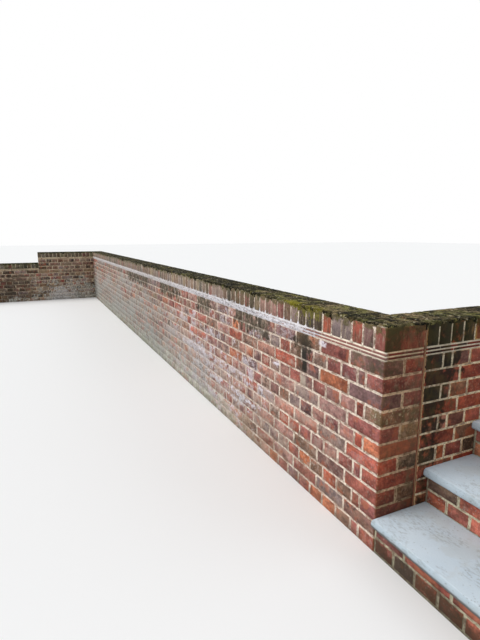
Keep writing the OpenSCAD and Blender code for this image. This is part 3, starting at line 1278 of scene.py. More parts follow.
@dataclass
class Piece:
    """A mesh that is put together from many parts and becomes one object."""

    name: str
    material: Material
    nodes: tuple[str, ...] = ()
    slot: str = ""
    mesh: Mesh = field(default_factory=bmesh.new)

    def __post_init__(self) -> None:
        """Adds the layers that every part brings."""
        self.chance = random.Random(self.name)
        self.mesh.loops.layers.float_color.new("rims")
        for name in ("clay", "wear"):
            self.mesh.faces.layers.float_color.new(name)
        self.carrier = bpy.data.meshes.new(self.name + "_part")

    def add(
        self, shape: Mesh, matrix: Matrix, clay: Colour, wear: Wear, rough: float, chips: float = 0.0
    ) -> None:
        """Copies a shape into the piece, worn in its own way.

        Args:
            shape: The shape, centred on the origin.
            matrix: Where it goes.
            clay: Its body colour.
            wear: What the years did to it.
            rough: How far its surface wanders.
            chips: Chance that a corner is knocked off.
        """
        part = shape.copy()
        shift = Vector([self.chance.uniform(-90.0, 90.0) for _ in range(3)])
        for vert in part.verts:
            vert.co += noise.noise_vector(vert.co * 22.0 + shift) * rough
        if self.chance.random() < chips:
            x, y, z = [self.chance.choice((-1.0, 1.0)) for _ in range(3)]
            worst = max(part.verts, key=lambda vert: vert.co.dot(Vector((x, 9.0 * y, z))))
            worst.co -= Vector((0.003 * x, 0.0008 * y, 0.003 * z))
        bmesh.ops.transform(part, matrix=matrix, verts=part.verts)
        own = (*clay[:3], self.chance.random())
        for name, value in (("clay", own), ("wear", astuple(wear))):
            layer = part.faces.layers.float_color.new(name)
            for face in part.faces:
                face[layer] = value
        part.to_mesh(self.carrier)
        part.free()
        self.mesh.from_mesh(self.carrier)

    def finish(self) -> None:
        """Turns the piece into an object on the frame."""
        bpy.data.meshes.remove(self.carrier)
        show(self.mesh, self.name, self.material, self.nodes, outward=False)


@dataclass(frozen=True)
class Run:
    """A straight run of wall: where it starts, which way it goes and how far."""

    start: Vector
    along: Vector
    inward: Vector
    length: float

    @property
    def axis(self) -> int:
        """The axis along which the run goes, 0 or 1."""
        return 0 if abs(self.along.x) > 0.5 else 1

    def at(self, s: float, t: float, z: float) -> Vector:
        """Returns the point at a distance along the run, in from its fair face, and up."""
        return self.start + self.along * s + self.inward * t + Vector((0.0, 0.0, z))

    def placed(self, s: Span, t: Span, z: Span) -> tuple[Matrix, Vector]:
        """Gives the place and the size of a block in the run's own directions.

        Args:
            s: Its limits along the run.
            t: Its limits in from the fair face.
            z: Its limits in height.

        Returns:
            The matrix that puts a centred block there, and the block's size.
        """
        middle = Matrix.Translation(self.at(sum(s) / 2.0, sum(t) / 2.0, sum(z) / 2.0))
        turn = Matrix.Rotation(math.pi / 2 * self.axis, 4, "Z")
        return middle @ turn, Vector((s[1] - s[0], t[1] - t[0], z[1] - z[0]))


def course_spans(length: float, stretchers: bool) -> list[Span]:
    """Divides a course of English bond into bricks, with a queen closer by the quoin.

    Args:
        length: How far the course runs.
        stretchers: Whether it shows stretchers and not headers.

    Returns:
        The limits of each brick along the course.
    """
    widths = [BRICK_L] if stretchers else [BRICK_W, CLOSER_W, BRICK_W]
    spans: list[Span] = []
    at = 0.0
    while at < length - 0.001:
        width = widths[min(len(spans), len(widths) - 1)]
        spans.append((at, min(at + width, length)))
        at += width + PERPEND
    if spans[-1][1] - spans[-1][0] < SHORTEST_CUT and len(spans) > 1:
        spans = spans[:-2] + [(spans[-2][0], spans[-1][1])]
    return spans


@dataclass
class GardenWall:
    """One run of one-brick wall, from its base to its coping."""

    name: str
    run: Run
    finishes: WallFinishes
    stretchers_on_odd: bool = False
    courses: int = 12
    top_course: int = 1
    bond_before: float = 0.0
    bond_beyond: float = 0.0
    beyond_from: int = 4
    fine_to: float = 0.0
    sections: tuple[float, ...] = ()
    coping_bricks: int = 18
    quoin_free: bool = False

    def __post_init__(self) -> None:
        """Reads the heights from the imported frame."""
        self.low, self.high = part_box(self.name)
        self.across = 1 - self.run.axis
        self.middle = (self.low[self.across] + self.high[self.across]) / 2.0

    def build(self) -> None:
        """Makes all the pieces of the run."""
        self.lay_bricks()
        self.point_joints()
        self.lay_creasing()
        self.set_coping()
        self.fill_coping_joints()

    def outward(self, vert: bmesh.types.BMVert) -> float:
        """Returns the side of the wall that a vertex is on, as 1 or -1."""
        return 1.0 if vert.co[self.across] > self.middle else -1.0

    def creased(self, height: float) -> float:
        """Returns where a packed height of the creasing comes in its worn tiles and beds."""
        return self.high.z + (height - self.high.z) * CREASING_SHARE

    def body(self, low: Vector, high: Vector, cell: float, rows: int) -> Mesh:
        """Makes a closed body of mortar, cut into cells along the wall and in its height."""
        along = int(self.run.length / cell)
        return cut_box(low, high, (0, along, rows) if self.run.axis else (along, 0, rows))

    def lay_bricks(self) -> None:
        """Lays the courses of bricks, in one piece for each section of the run."""
        first = self.bond_before
        whole = first + self.run.length
        limits = (first, *self.sections, whole)
        bond = replace(self.run, start=self.run.start - self.run.along * first)
        for number, (low, high) in enumerate(zip(limits, limits[1:]), 1):
            name = f"{self.name}_bricks_{number}" if self.sections else self.name + "_bricks"
            piece = Piece(name, self.finishes.brick, (self.name,), "brick")
            for row in range(self.courses):
                course = self.top_course + row
                length = whole + (self.bond_beyond if course >= self.beyond_from else 0.0)
                stretchers = (course % 2 == 1) == self.stretchers_on_odd
                depths = ((0.0, BRICK_W), (WALL_T - BRICK_W, WALL_T)) if stretchers else ((0.0, WALL_T),)
                top = self.high.z - row * GAUGE
                for index, span in enumerate(course_spans(length, stretchers)):
                    middle = sum(span) / 2.0
                    if low <= middle < high:
                        for leaf, depth in enumerate(depths):
                            self.lay(piece, bond, Spot(course, index, leaf, middle), span, depth, top)
            piece.finish()

    def lay(self, piece: Piece, bond: Run, spot: Spot, span: Span, depth: Span, top: float) -> None:
        """Lays one brick.

        Args:
            piece: The piece that it joins.
            bond: The run that the bond is set out on.
            spot: Where it lies in the bond.
            span: Its limits along the run.
            depth: Its limits in from the fair face.
            top: The height of its top.
        """
        chance = piece.chance
        proud = FACE_INSET + chance.uniform(0.0, 0.0009)
        drop = chance.uniform(0.0, 0.0008)
        start = max(span[0], FACE_INSET) + (chance.uniform(-0.0008, 0.0012) if spot.index else 0.0)
        sides = (start, span[1] + chance.uniform(-0.002, 0.0005))
        matrix, size = bond.placed(
            sides, (depth[0] + proud, depth[1] - proud), (top - BRICK_H + drop, top - drop)
        )
        kind = self.finishes.weather.fired(spot, chance)
        wear = self.finishes.weather.wear(matrix.to_translation(), spot, chance)
        tilt = Matrix.Rotation(chance.uniform(-0.006, 0.006), 4, "Y")
        shape = Mould.brick(Vector(rounded(size, 3)), spot.s < self.fine_to)
        piece.add(shape, matrix @ tilt, kind.body(chance), wear, 0.0005, 0.3)

    def point_joints(self) -> None:
        """Fills the joints with one body of mortar, struck back at the top of each bed."""
        top = self.high - RECESS - Vector((0.0, 0.0, 0.001))
        rows = self.courses * 3 - 1
        bm = self.body(self.low + RECESS, top, 0.022, rows - 1)
        step = (top.z - self.low.z) / rows
        # Each course has three rows: the bed's top, the brick's foot and the brick's head
        levels = (0.006, BRICK_H - 0.002, GAUGE + 0.001)
        strikes = (0.0, 0.0006, -0.0012)
        for vert in bm.verts:
            course, part = divmod(round((vert.co.z - self.low.z) / step), 3)
            if course or part:
                vert.co.z = min(self.low.z + (course * GAUGE + levels[part]), top.z)
            wander = noise.noise(vert.co * 31.0) * 0.0009 + noise.noise(vert.co * 9.0) * 0.0004
            vert.co[self.across] += self.outward(vert) * min(strikes[part] + wander, 0.0010)
        show(bm, self.name + "_mortar", self.finishes.mortar, (self.name,))

    def roughen(self, bm: Mesh, waves: float, depth: float) -> None:
        """Makes mortar wander in and out, with so many waves in a metre and so deep."""
        for vert in bm.verts:
            vert.co[self.across] += self.outward(vert) * noise.noise(vert.co * waves) * depth

    def lay_creasing(self) -> None:
        """Lays the two courses of tiles and the mortar beds round them."""
        count = max(round(self.run.length / TILE_PITCH), 1)
        pitch = self.run.length / count
        for part, shift in (("_lower_tiles", 0.0), ("_upper_tiles", 0.5)):
            node = self.name + part
            heights = tuple(self.creased(corner.z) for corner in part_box(node))
            piece = Piece(node + "_laid", self.finishes.tile, (node,), "creasing_tile")
            for index in range(count + 1):
                at = (index - shift) * pitch
                span = (max(at, FACE_INSET), min(at + pitch - TILE_JOINT, self.run.length - FACE_INSET))
                if span[1] - span[0] > 0.02:
                    back = FACE_INSET + piece.chance.uniform(0.0, 0.0007)
                    matrix, size = self.run.placed(span, (back, WALL_T - back), heights)
                    light = piece.chance.uniform(0.85, 1.15)
                    clay = tint(122 * light, 58 * light, 50 * light)
                    piece.add(Mould.brick(size, False), matrix, clay, Wear(), 0.0003)
            piece.finish()
        node = self.name + "_creasing_mortar"
        low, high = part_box(node)
        high.z = self.creased(high.z)
        bm = self.body(low + RECESS, high - RECESS, 0.03, 5)
        self.roughen(bm, 40.0, 0.0008)
        show(bm, self.name + "_creasing_beds", self.finishes.mortar, (node,))

    def set_coping(self) -> None:
        """Sets the bricks on edge."""
        node = self.name + "_coping"
        low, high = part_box(node)
        piece = Piece(node + "_bricks", self.finishes.coping, (node,), "coping_brick")
        chance = piece.chance
        pitch = (self.run.length + (0.0 if self.quoin_free else COPING_JOINT)) / self.coping_bricks
        for index in range(self.coping_bricks):
            start = index * pitch + (chance.uniform(-0.001, 0.001) if index else FACE_INSET)
            end = min((index + 1) * pitch - COPING_JOINT, self.run.length - FACE_INSET)
            inset = FACE_INSET + chance.uniform(0.0, 0.0014)
            heights = (self.creased(low.z) + 0.001, high.z - chance.uniform(0.003, 0.005))
            matrix, size = self.run.placed((start, end), (inset, WALL_T - inset), heights)
            tilt = Matrix.Rotation(chance.uniform(-0.008, 0.008) if index else 0.0, 4, "Y")
            kind = self.finishes.weather.coping_fired(index, chance)
            shape = Mould.coping(Vector(rounded(size, 3)), index == 0 and self.quoin_free)
            piece.add(shape, matrix @ tilt, kind.body(chance), Wear(dust=0.3), 0.0007, 0.4)
        piece.finish()

    def fill_coping_joints(self) -> None:
        """Makes the mortar between the coping bricks, rounded like them."""
        node = self.name + "_coping"
        low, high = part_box(node)
        low.z = self.creased(low.z)
        high = high - RECESS - Vector((0.0, 0.0, 0.0065))
        bm = cut_box(low + RECESS, high)
        upper = []
        for edge in bm.edges:
            middle = middle_of(edge)
            at_quoin = self.quoin_free and middle.x > high.x - 0.001
            side = abs(middle[self.across] - self.middle) > 0.05
            if middle.z > high.z - 0.001 and (side or at_quoin):
                upper.append(edge)
        wear_down(bm, upper, COPING_ARRIS, 4)
        edges = edges_along(bm, self.run.axis)
        longest = max(edge.calc_length() for edge in edges)
        long_edges = [edge for edge in edges if edge.calc_length() > longest * 0.9]
        cuts = int(self.run.length / 0.02)
        bmesh.ops.subdivide_edges(bm, edges=long_edges, cuts=cuts, use_grid_fill=True)
        self.roughen(bm, 45.0, 0.0005)
        show(bm, node + "_joints", self.finishes.mortar, (node,))


@dataclass
class Flight:
    """The steps: brick risers, stone treads and the brickwork that backs them."""

    finishes: WallFinishes
    stone: Material
    steps: int = 5
    wall_gap: float = 0.009
    nosing_radius: float = 0.016

    def __post_init__(self) -> None:
        """Reads the flight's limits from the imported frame."""
        low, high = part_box("riser_1")
        self.near_x, self.open_x = low.x, high.x
        self.end_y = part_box("step_fill_1")[1].y

    @property
    def fills(self) -> tuple[str, ...]:
        """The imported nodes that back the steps."""
        return tuple(f"step_fill_{step}" for step in range(1, self.steps + 1))

    def build(self) -> None:
        """Makes all the pieces of the flight."""
        for step in range(1, self.steps + 1):
            self.lay_riser(step)
            self.lay_tread(step)
        self.back_up()
        self.fill_core()

    def add_brick(self, piece: Piece, run: Run, span: Span, height: Span, fine: bool) -> None:
        """Lays one half-brick in a face of the flight.

        Args:
            piece: The piece that it joins.
            run: The face that it is laid in.
            span: Its limits along that face.
            height: Its limits in height.
            fine: Whether it is seen close by.
        """
        chance = piece.chance
        spot = Spot(0, 0, 0, span[0])
        inset = FACE_INSET + chance.uniform(0.0, 0.0009)
        matrix, size = run.placed((span[0], span[1] - FACE_INSET), (inset, BRICK_W - inset), height)
        kind = self.finishes.weather.fired(spot, chance)
        wear = self.finishes.weather.wear(matrix.to_translation(), spot, chance)
        piece.add(Mould.brick(size, fine), matrix, kind.body(chance), wear, 0.0005, 0.3)

    def lay_riser(self, step: int) -> None:
        """Lays a riser: headers below and stretchers above, on the tread beneath.

        Args:
            step: The step, counted up from 1.
        """
        node = f"riser_{step}"
        low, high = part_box(node)
        piece = Piece(node + "_bricks", self.finishes.brick, (node,), "brick")
        run = Run(Vector((low.x, low.y, 0.0)), Vector((1, 0, 0)), Vector((0, 1, 0)), high.x - low.x)
        foot = low.z + (0.011 if step == 1 else 0.003)
        bed = low.z + (0.076 if step == 1 else 0.065)
        # A cut brick against the wall, then headers below and stretchers above at their pitch
        header, stretcher = 0.1125, 0.225
        lower = [(0.120 + header * n, 0.2225 + header * n) for n in range(9)]
        upper = [(0.175 + stretcher * n, 0.390 + stretcher * n) for n in range(5)]
        lower.insert(0, (self.wall_gap, 0.110))
        upper.insert(0, (self.wall_gap, 0.165))
        for spans, height in ((lower, (foot, bed)), (upper, (bed + BED, high.z - 0.003))):
            for start, end in spans:
                last = end > run.length - PERPEND
                self.add_brick(piece, run, (start, run.length if last else end), height, True)
        piece.finish()
        bm = cut_box(low + Vector((0.0, JOINT_RECESS, 0.0)), high - RECESS, (50, 0, 8))
        for vert in bm.verts:
            vert.co.y += noise.noise(vert.co * 31.0) * 0.0008
        show(bm, node + "_mortar", self.finishes.mortar, (node,))

    def lay_tread(self, step: int) -> None:
        """Cuts a tread with its worked nosing from stone and beds it.

        Args:
            step: The step, counted up from 1.
        """
        node = f"tread_{step}"
        low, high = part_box(node)
        bm = cut_box(low, high - Vector((0.0004, 0.0, 0.0)))
        front = [edge for edge in edges_along(bm, 0) if max(v.co.y for v in edge.verts) < low.y + 0.001]
        wear_down(bm, front, self.nosing_radius, 6)
        wear_down(bm, sharp_edges(bm, 0.9), 0.0018, 2)
        bmesh.ops.subdivide_edges(bm, edges=edges_along(bm, 0), cuts=44, use_grid_fill=True)
        for vert in bm.verts:
            dip = abs(noise.noise(vert.co * 14.0) * 0.0007 + noise.noise(vert.co * 45.0) * 0.0004)
            if vert.co.z > high.z - 0.012:
                vert.co.z -= dip
            if vert.co.y < low.y + 0.012:
                vert.co.y += dip
        show(bm, node + "_slab", self.stone, (node,))

    def back_up(self) -> None:
        """Faces the open side and the rear of the steps with brick."""
        piece = Piece("flight_backing_bricks", self.finishes.brick, self.fills, "step_backing")
        boxes = [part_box(node) for node in self.fills]
        width = self.open_x - self.near_x
        corner = Vector((self.open_x, self.end_y, 0.0))
        side = Run(corner, Vector((0, -1, 0)), Vector((-1, 0, 0)), 1.5)
        rear = Run(corner, Vector((-1, 0, 0)), Vector((0, -1, 0)), width)
        overlap = BRICK_W + PERPEND
        course = 0
        while course * GAUGE < boxes[-1][1].z - 0.015:
            foot = course * GAUGE
            head = min(foot + BRICK_H, boxes[-1][1].z)
            turned = course % 2 == 1
            for (start, end), top in self.steps_at(foot, head):
                for span in self.stretchers(overlap if turned else 0.0, end):
                    cut = (max(span[0], start), min(span[1], end))
                    if cut[1] - cut[0] > SHORTEST_CLOSER:
                        self.add_brick(piece, side, cut, (foot, top), False)
            for span in self.stretchers(0.0 if turned else overlap, width):
                self.add_brick(piece, rear, span, (foot, head), False)
            course += 1
        piece.finish()

    def steps_at(self, foot: float, head: float) -> list[tuple[Span, float]]:
        """Finds how far a course of the open side runs below each tread.

        Args:
            foot: The height of the course's bed.
            head: The height of its top where no tread cuts it.

        Returns:
            Limits from the rear and the height that the course has between them.
        """
        found: list[tuple[Span, float]] = []
        start = 0.0
        for node in reversed(self.fills):
            low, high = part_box(node)
            end, top = self.end_y - low.y - PERPEND, min(head, high.z)
            if top - foot > 0.014:
                if found and found[-1][1] == top:
                    found[-1] = ((found[-1][0][0], end), top)
                else:
                    found.append(((start, end), top))
                start = end + PERPEND
        return found

    def fill_core(self) -> None:
        """Makes the mortar body behind the facing bricks, one block for each step."""
        piece = Piece("flight_core", self.finishes.mortar, self.fills, "step_backing")
        for node in self.fills:
            low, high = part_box(node)
            low = Vector((low.x + FACE_INSET, low.y - 0.02, max(low.z - 0.02, 0.0)))
            high = high - RECESS
            size = high - low
            shape = cut_box(size * -0.5, size * 0.5, (20, int(size.y / 0.05), int(size.z / 0.03)))
            shape.loops.layers.float_color.new("rims")
            middle = Matrix.Translation((high + low) / 2.0)
            piece.add(shape, middle, tint(128, 128, 128), Wear(), 0.0006)
            shape.free()
        piece.finish()

    def stretchers(self, start: float, end: float) -> list[Span]:
        """Divides a length into stretchers.

        Args:
            start: Where the first one begins.
            end: Where the last one ends.

        Returns:
            Their limits.
        """
        spans = []
        while start < end - SHORTEST_CLOSER:
            spans.append((start, min(start + BRICK_L, end)))
            start += BRICK_L + PERPEND
        return spans


@dataclass
class StraightJoint:
    """The filled gap between the quoin and the near return."""

    filler: Material

    def build(self) -> None:
        """Fills the joint with a wavy bead."""
        low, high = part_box("movement_joint")
        inset = Vector((0.003, -0.001, 0.0))
        bm = cut_box(low + inset, high - inset - Vector((0.0, 0.0, 0.004)), (0, 5, 150))
        for vert in bm.verts:
            side = 1.0 if vert.co.x > (low.x + high.x) / 2.0 else -1.0
            vert.co.x += side * noise.noise(vert.co * 60.0) * 0.0016
        show(bm, "straight_joint_filler", self.filler, ("movement_joint",))


@dataclass
class MossMat:
    """Moss over the top of a coping, thick in places and bare in others."""

    name: str
    low: Vector
    high: Vector
    material: Material
    cell: float
    tufts: int
    cover: float = 0.62
    depth: float = 0.0050
    drop: float = 0.045

    def build(self) -> None:
        """Makes the mat and the tufts that stand on it."""
        low = Vector((self.low.x, self.low.y, self.high.z - self.drop - COPING_ARRIS))
        cuts = tuple(int(length / self.cell) for length in self.high - low)
        bm = cut_box(low, self.high, cuts)
        for vert in bm.verts:
            vert.co = self.lifted(*self.eased_over(vert.co))
        show(bm, self.name, self.material)
        self.stand_tufts()

    def eased_over(self, place: Vector) -> tuple[Vector, Vector]:
        """Brings a point of the box onto the coping's rounded section.

        Args:
            place: A point on the box.

        Returns:
            The point on the coping and its outward direction.
        """
        inner = place.copy()
        for axis in (0, 1):
            least, most = self.low[axis] + COPING_ARRIS, self.high[axis] - COPING_ARRIS
            inner[axis] = min(max(place[axis], least), most)
        inner.z = min(place.z, self.high.z - COPING_ARRIS)
        way = place - inner
        if way.length < 0.000001:
            return place.copy(), Vector((0.0, 0.0, -1.0))
        way.normalize()
        return inner + way * COPING_ARRIS, way

    def growth(self, place: Vector, way: Vector) -> float:
        """Says how thick the moss is at one place.

        Args:
            place: The place on the coping.
            way: Its outward direction.

        Returns:
            A number from -0.6, where it is bare, to 1.
        """
        fall = (self.high.z - place.z) / self.drop
        weight = 1.0
        if way.z < 0.9:
            weight = 1.06 - 1.2 * fall + noise.noise(Vector((place.x * 16.0, place.y * 16.0, 5.0))) * 0.6
            weight += noise.noise(Vector((place.x * 3.5, place.y * 3.5, 9.0))) * 0.6
        broad = noise.noise(Vector((place.x * 4.0, place.y * 4.0, place.z * 9.0 + 2.0)))
        level = (weight - (1.0 - self.cover)) * 1.5 + broad * 0.5
        level += noise.noise(place * 30.0) * 0.7 + noise.noise(place * 85.0) * 0.5
        return min(max(level, -0.6), 1.0)

    def lifted(self, place: Vector, way: Vector) -> Vector:
        """Moves a point of the mat to where the moss ends; a bare one sinks into the brick.

        Args:
            place: The place on the coping.
            way: Its outward direction.

        Returns:
            The point.
        """
        if way.z < -0.5:
            return place
        depth = self.depth * (0.4 + 0.6 * max(way.z, 0.0))
        return place + way * ((self.growth(place, way) - 1.0) * depth - 0.0004)

    def stand_tufts(self) -> None:
        """Scatters small cushions of moss over the mat and along its edges."""
        piece = Piece(self.name + "_tufts", self.material)
        shape = bmesh.new()
        bmesh.ops.create_icosphere(shape, subdivisions=1, radius=1.0)
        shape.loops.layers.float_color.new("rims")
        chance = piece.chance
        flat = self.high - self.low
        across = 0 if flat.x < flat.y else 1
        stood = 0
        while stood < self.tufts:
            place = self.low + Vector((flat.x * chance.random(), flat.y * chance.random(), flat.z))
            if chance.random() < 0.45:
                place[across] = chance.choice((self.low[across], self.high[across]))
                place.z -= abs(chance.gauss(0.0, 0.012))
            base, way = self.eased_over(place)
            if self.growth(base, way) < 0.5:
                continue
            stood += 1
            radius = chance.uniform(0.002, 0.006)
            size = Matrix.Diagonal((radius, radius * chance.uniform(0.8, 1.4), radius * 0.8, 1.0))
            spin = Matrix.Rotation(chance.uniform(0.0, math.tau), 4, "Z")
            middle = self.lifted(base, way) - way * (radius * 0.35)
            middle.z = min(middle.z, self.high.z - radius)
            matrix = Matrix.Translation(middle) @ spin @ size
            piece.add(shape, matrix, tint(90, 90, 60), Wear(), 0.0)
        shape.free()
        piece.finish()


@dataclass
class LimeCrust:
    """The skin of lime over the creasing, and the flares of mortar above it."""

    run: Run
    low: float
    high: float
    lime: Material
    mortar: Material
    pitch: float = 0.07317

    def build(self) -> None:
        """Makes the crust and the flares."""
        self.skin("lime_crust_near", (0.36, 3.2), 0.005, 18)
        self.skin("lime_crust_far", (3.2, 8.99), 0.013, 10)
        self.flares()

    def skin(self, name: str, span: Span, cell: float, rows: int) -> None:
        """Makes a thin closed sheet whose bare places sink behind the creasing.

        Args:
            name: The piece's name.
            span: Its limits along the run.
            cell: The length of its faces.
            rows: Cuts in its height.
        """
        first = self.run.at(span[0], 0.0, self.low - 0.006)
        last = self.run.at(span[1], 0.006, self.high + 0.030)
        low = Vector(map(min, first, last))
        high = Vector(map(max, first, last))
        bm = cut_box(low, high, (int((span[1] - span[0]) / cell), 0, rows))
        for vert in bm.verts:
            if vert.co.y < low.y + 0.001:
                vert.co.y -= self.thickness(self.run.start.x - vert.co.x, vert.co.z)
        show(bm, name, self.lime)

    def thickness(self, s: float, z: float) -> float:
        """Says how far the lime stands out at one place, below 0 where there is none.

        Args:
            s: Distance from the quoin.
            z: Height.

        Returns:
            The distance.
        """
        reach = ease(s, LEACH_FROM - 0.25, LEACH_FROM + 0.20)
        band = ease(z, self.low - 0.001, self.low + 0.007) * ease(z, self.high + 0.002, self.high - 0.006)
        joint = round((s + 0.004) / self.pitch)
        aside = abs(s + 0.004 - joint * self.pitch)
        tall = 0.006 + 0.028 * max(0.0, 0.5 + noise.noise(Vector((joint * 3.7, 1.0, 0.0))))
        slope = max(1.0 - (z - self.high) / tall, 0.0) * 0.011
        spike = ease(aside, slope + 0.002, slope - 0.002) * ease(z, self.high + tall, self.high)
        spike *= ease(z, self.high - 0.012, self.high - 0.004)
        grain = noise.noise(Vector((s * 13.0, z * 26.0, 4.0))) * 0.9
        grain += noise.noise(Vector((s * 55.0, z * 70.0, 0.0))) * 0.6
        tiled = (z - self.low) % (0.019 * CREASING_SHARE) > 0.008 * CREASING_SHARE
        bare = 0.22 if s < 3.2 and tiled else 0.0
        run = band * (0.62 + 0.16 * ease(s, 0.9, 1.8) + grain - bare)
        level = max(run, spike * (0.8 + 0.5 * grain)) * reach
        return min(max((level - 0.5) * 0.006, -0.0040), 0.0009)

    def flares(self) -> None:
        """Makes the small triangles of mortar at the foot of the coping joints."""
        bm = bmesh.new()
        chance = random.Random("flares")
        for number in range(1, int(2.4 / self.pitch)):
            tall = chance.uniform(0.010, 0.024)
            wide = chance.uniform(0.007, 0.014)
            cone = bmesh.ops.create_cone(
                bm, segments=6, radius1=wide, radius2=0.0025, depth=tall, cap_ends=True
            )
            place = self.run.at(number * self.pitch - 0.004, 0.0020, self.high + tall / 2.0 - 0.004)
            squash = Matrix.Diagonal((1.0, 0.22, 1.0, 1.0))
            bmesh.ops.transform(bm, matrix=Matrix.Translation(place) @ squash, verts=cone["verts"])
            for vert in cone["verts"]:
                vert.co += noise.noise_vector(vert.co * 70.0) * 0.0010
        show(bm, "coping_joint_flares", self.mortar)


@dataclass(frozen=True)
class Viewpoint:
    """Where the picture is taken from."""

    place: tuple[float, float, float] = (5.8134, -1.3714, 1.3756)
    right: tuple[float, float, float] = (0.42512, 0.90514, -0.00127)
    down: tuple[float, float, float] = (0.17047, -0.08144, -0.98199)
    ahead: tuple[float, float, float] = (-0.88894, 0.41725, -0.18892)
    lens: float = 24.94

    def build(self) -> None:
        """Sets up the camera."""
        data = bpy.data.cameras.new("camera")
        data.lens = self.lens
        data.clip_start = 0.05
        data.clip_end = 200.0
        camera = bpy.data.objects.new("camera", data)
        turn = Matrix((Vector(self.right), -Vector(self.down), -Vector(self.ahead))).transposed()
        camera.rotation_euler = turn.to_euler()
        camera.location = self.place
        bpy.context.scene.collection.objects.link(camera)
        bpy.context.scene.camera = camera


@dataclass(frozen=True)
class Studio:
    """A pale floor, a white surround and soft lamps."""

    sky: float = 0.50
    key: float = 2.35
    fill: float = 0.55

    def build(self) -> None:
        """Sets up the floor, the world and the lamps."""
        self.floor()
        self.world()
        self.lamp("key_lamp", Vector((0.14, 0.80, -0.60)), self.key, 34.0, (1.0, 0.985, 0.96))
        self.lamp("fill_lamp", Vector((-0.35, -0.75, -0.45)), self.fill, 60.0, (0.95, 0.97, 1.0))
        bpy.context.scene.view_settings.view_transform = "Standard"

    def lamp(
        self, name: str, way: Vector, power: float, spread: float, colour: tuple[float, float, float]
    ) -> None:
        """Adds a far lamp with soft shadows.

        Args:
            name: Its name.
            way: The direction in which its light travels.
            power: Its strength.
            spread: Its apparent size in degrees.
            colour: Its colour.
        """
        data = bpy.data.lights.new(name, "SUN")
        data.energy = power
        data.angle = math.radians(spread)
        data.color = colour
        lamp = bpy.data.objects.new(name, data)
        lamp.rotation_euler = way.to_track_quat("-Z", "Y").to_euler()
        bpy.context.scene.collection.objects.link(lamp)

    def floor(self) -> None:
        """Lays the floor, which is pale to the eye and darker to the light it sends back."""
        bm = bmesh.new()
        bmesh.ops.create_grid(bm, x_segments=1, y_segments=1, size=60.0)
        data = bpy.data.meshes.new("floor")
        bm.to_mesh(data)
        bm.free()
        material = bpy.data.materials.new("pale_floor")
        material.use_nodes = True
        seen, sent = ((0.93, 0.93, 0.93, 1.0),), ((0.34, 0.33, 0.31, 1.0),)
        kinds = ("ShaderNodeBsdfDiffuse", "ShaderNodeOutputMaterial")
        self.show_and_send(material.node_tree, *kinds, seen, sent)
        data.materials.append(material)
        thing = bpy.data.objects.new("floor", data)
        bpy.context.scene.collection.objects.link(thing)
        thing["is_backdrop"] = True

    def world(self) -> None:
        """Makes the surround white to the eye and a soft plain sky to the object."""
        world = bpy.data.worlds.new("surround")
        world.use_nodes = True
        seen, sent = ((1.0, 1.0, 1.0, 1.0), 1.0), ((0.94, 0.97, 1.0, 1.0), self.sky)
        self.show_and_send(world.node_tree, "ShaderNodeBackground", "ShaderNodeOutputWorld", seen, sent)
        bpy.context.scene.world = world

    def show_and_send(
        self, tree: bpy.types.NodeTree, kind: str, output: str, *looks: tuple[object, ...]
    ) -> None:
        """Gives one look to the eye and another to the light that goes on to the object.

        Args:
            tree: The node tree to fill.
            kind: The type of both shaders.
            output: The type of the output.
            looks: The first inputs of the shader that is seen and of the one that is sent.
        """
        tree.nodes.clear()
        path = tree.nodes.new("ShaderNodeLightPath")
        seen = path.outputs["Is Camera Ray"]
        for name in ("Is Glossy Ray", "Is Transmission Ray"):
            most = tree.nodes.new("ShaderNodeMath")
            most.operation = "MAXIMUM"
            tree.links.new(seen, most.inputs[0])
            tree.links.new(path.outputs[name], most.inputs[1])
            seen = most.outputs[0]
        blend = tree.nodes.new("ShaderNodeMixShader")
        tree.links.new(seen, blend.inputs[0])
        for slot, look in zip((2, 1), looks):
            shader = tree.nodes.new(kind)
            for socket, value in zip(shader.inputs, look):
                socket.default_value = value
            tree.links.new(shader.outputs[0], blend.inputs[slot])
        tree.links.new(blend.outputs[0], tree.nodes.new(output).inputs[0])


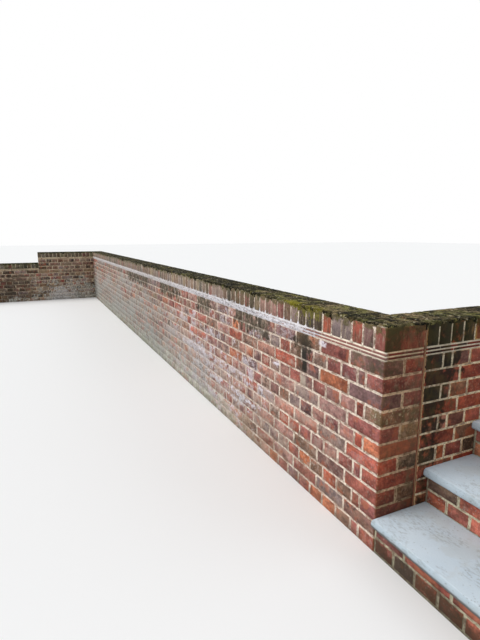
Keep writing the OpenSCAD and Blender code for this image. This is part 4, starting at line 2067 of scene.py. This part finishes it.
def write_sizes() -> None:
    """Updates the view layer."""
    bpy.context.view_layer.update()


def main() -> None:
    """Builds the wall and the steps in order, then the studio round them."""
    logging.basicConfig(level=logging.INFO, format="%(name)s: %(message)s")
    noise.seed_set(NOISE_SEED)
    Viewpoint().build()
    fair = WallFinishes.under(FairFaceWeather())
    far = WallFinishes.under(BackWallWeather())
    far_low = WallFinishes.under(BackWallWeather(name="far_return_low", ledge=0.7975))
    near = WallFinishes.under(NearReturnWeather())
    moss = MossFinish().material()
    west, north, south = (Vector(way) for way in ((-1, 0, 0), (0, 1, 0), (0, -1, 0)))

    low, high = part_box("main_wall")
    main_run = Run(Vector((high.x, low.y, 0.0)), west, north, high.x - low.x)
    settings = {"sections": (2.25, 5.4), "coping_bricks": 123, "quoin_free": True}
    GardenWall("main_wall", main_run, fair, stretchers_on_odd=True, fine_to=2.3, **settings).build()

    low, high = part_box("back_wall_high")
    high_run = Run(Vector((high.x, high.y, 0.0)), south, west, high.y - low.y)
    low_length = low.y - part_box("back_wall_low")[0].y
    low_run = Run(Vector((high.x, low.y, 0.0)), south, west, low_length)
    GardenWall("back_wall_high", high_run, far, bond_beyond=low_length).build()
    settings = {"courses": 9, "top_course": 4, "coping_bricks": 25}
    GardenWall("back_wall_low", low_run, far_low, bond_before=high_run.length, **settings).build()

    low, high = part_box("return_wall")
    near_run = Run(Vector((high.x, low.y, 0.0)), north, west, high.y - low.y)
    GardenWall("return_wall", near_run, near, fine_to=2.0).build()
    StraightJoint(FillerFinish().material()).build()
    Flight(WallFinishes.under(Weather()), StoneFinish().material()).build()

    low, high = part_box("main_wall_coping")
    split = high.x - 2.4
    near_end = Vector((split - 0.012, low.y, low.z))
    far_end = Vector((split + 0.012, high.y, high.z))
    MossMat("main_wall_moss_near", near_end, high, moss, 0.007, 3600).build()
    MossMat("main_wall_moss_far", low, far_end, moss, 0.015, 2400).build()
    low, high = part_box("return_wall_coping")
    over_joint = Vector((low.x, low.y - 0.020, low.z))
    MossMat("return_wall_moss", over_joint, high, moss, 0.008, 1600).build()
    for wall in ("back_wall_high", "back_wall_low"):
        low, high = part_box(wall + "_coping")
        MossMat(wall + "_moss", low, high, moss, 0.014, 600).build()
    low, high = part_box("main_wall_creasing_mortar")
    top = low.z + (high.z - low.z) * CREASING_SHARE
    LimeCrust(main_run, low.z, top, LimeFinish().material(), fair.mortar).build()
    Studio().build()
    write_sizes()


if __name__ == "__main__":
    main()
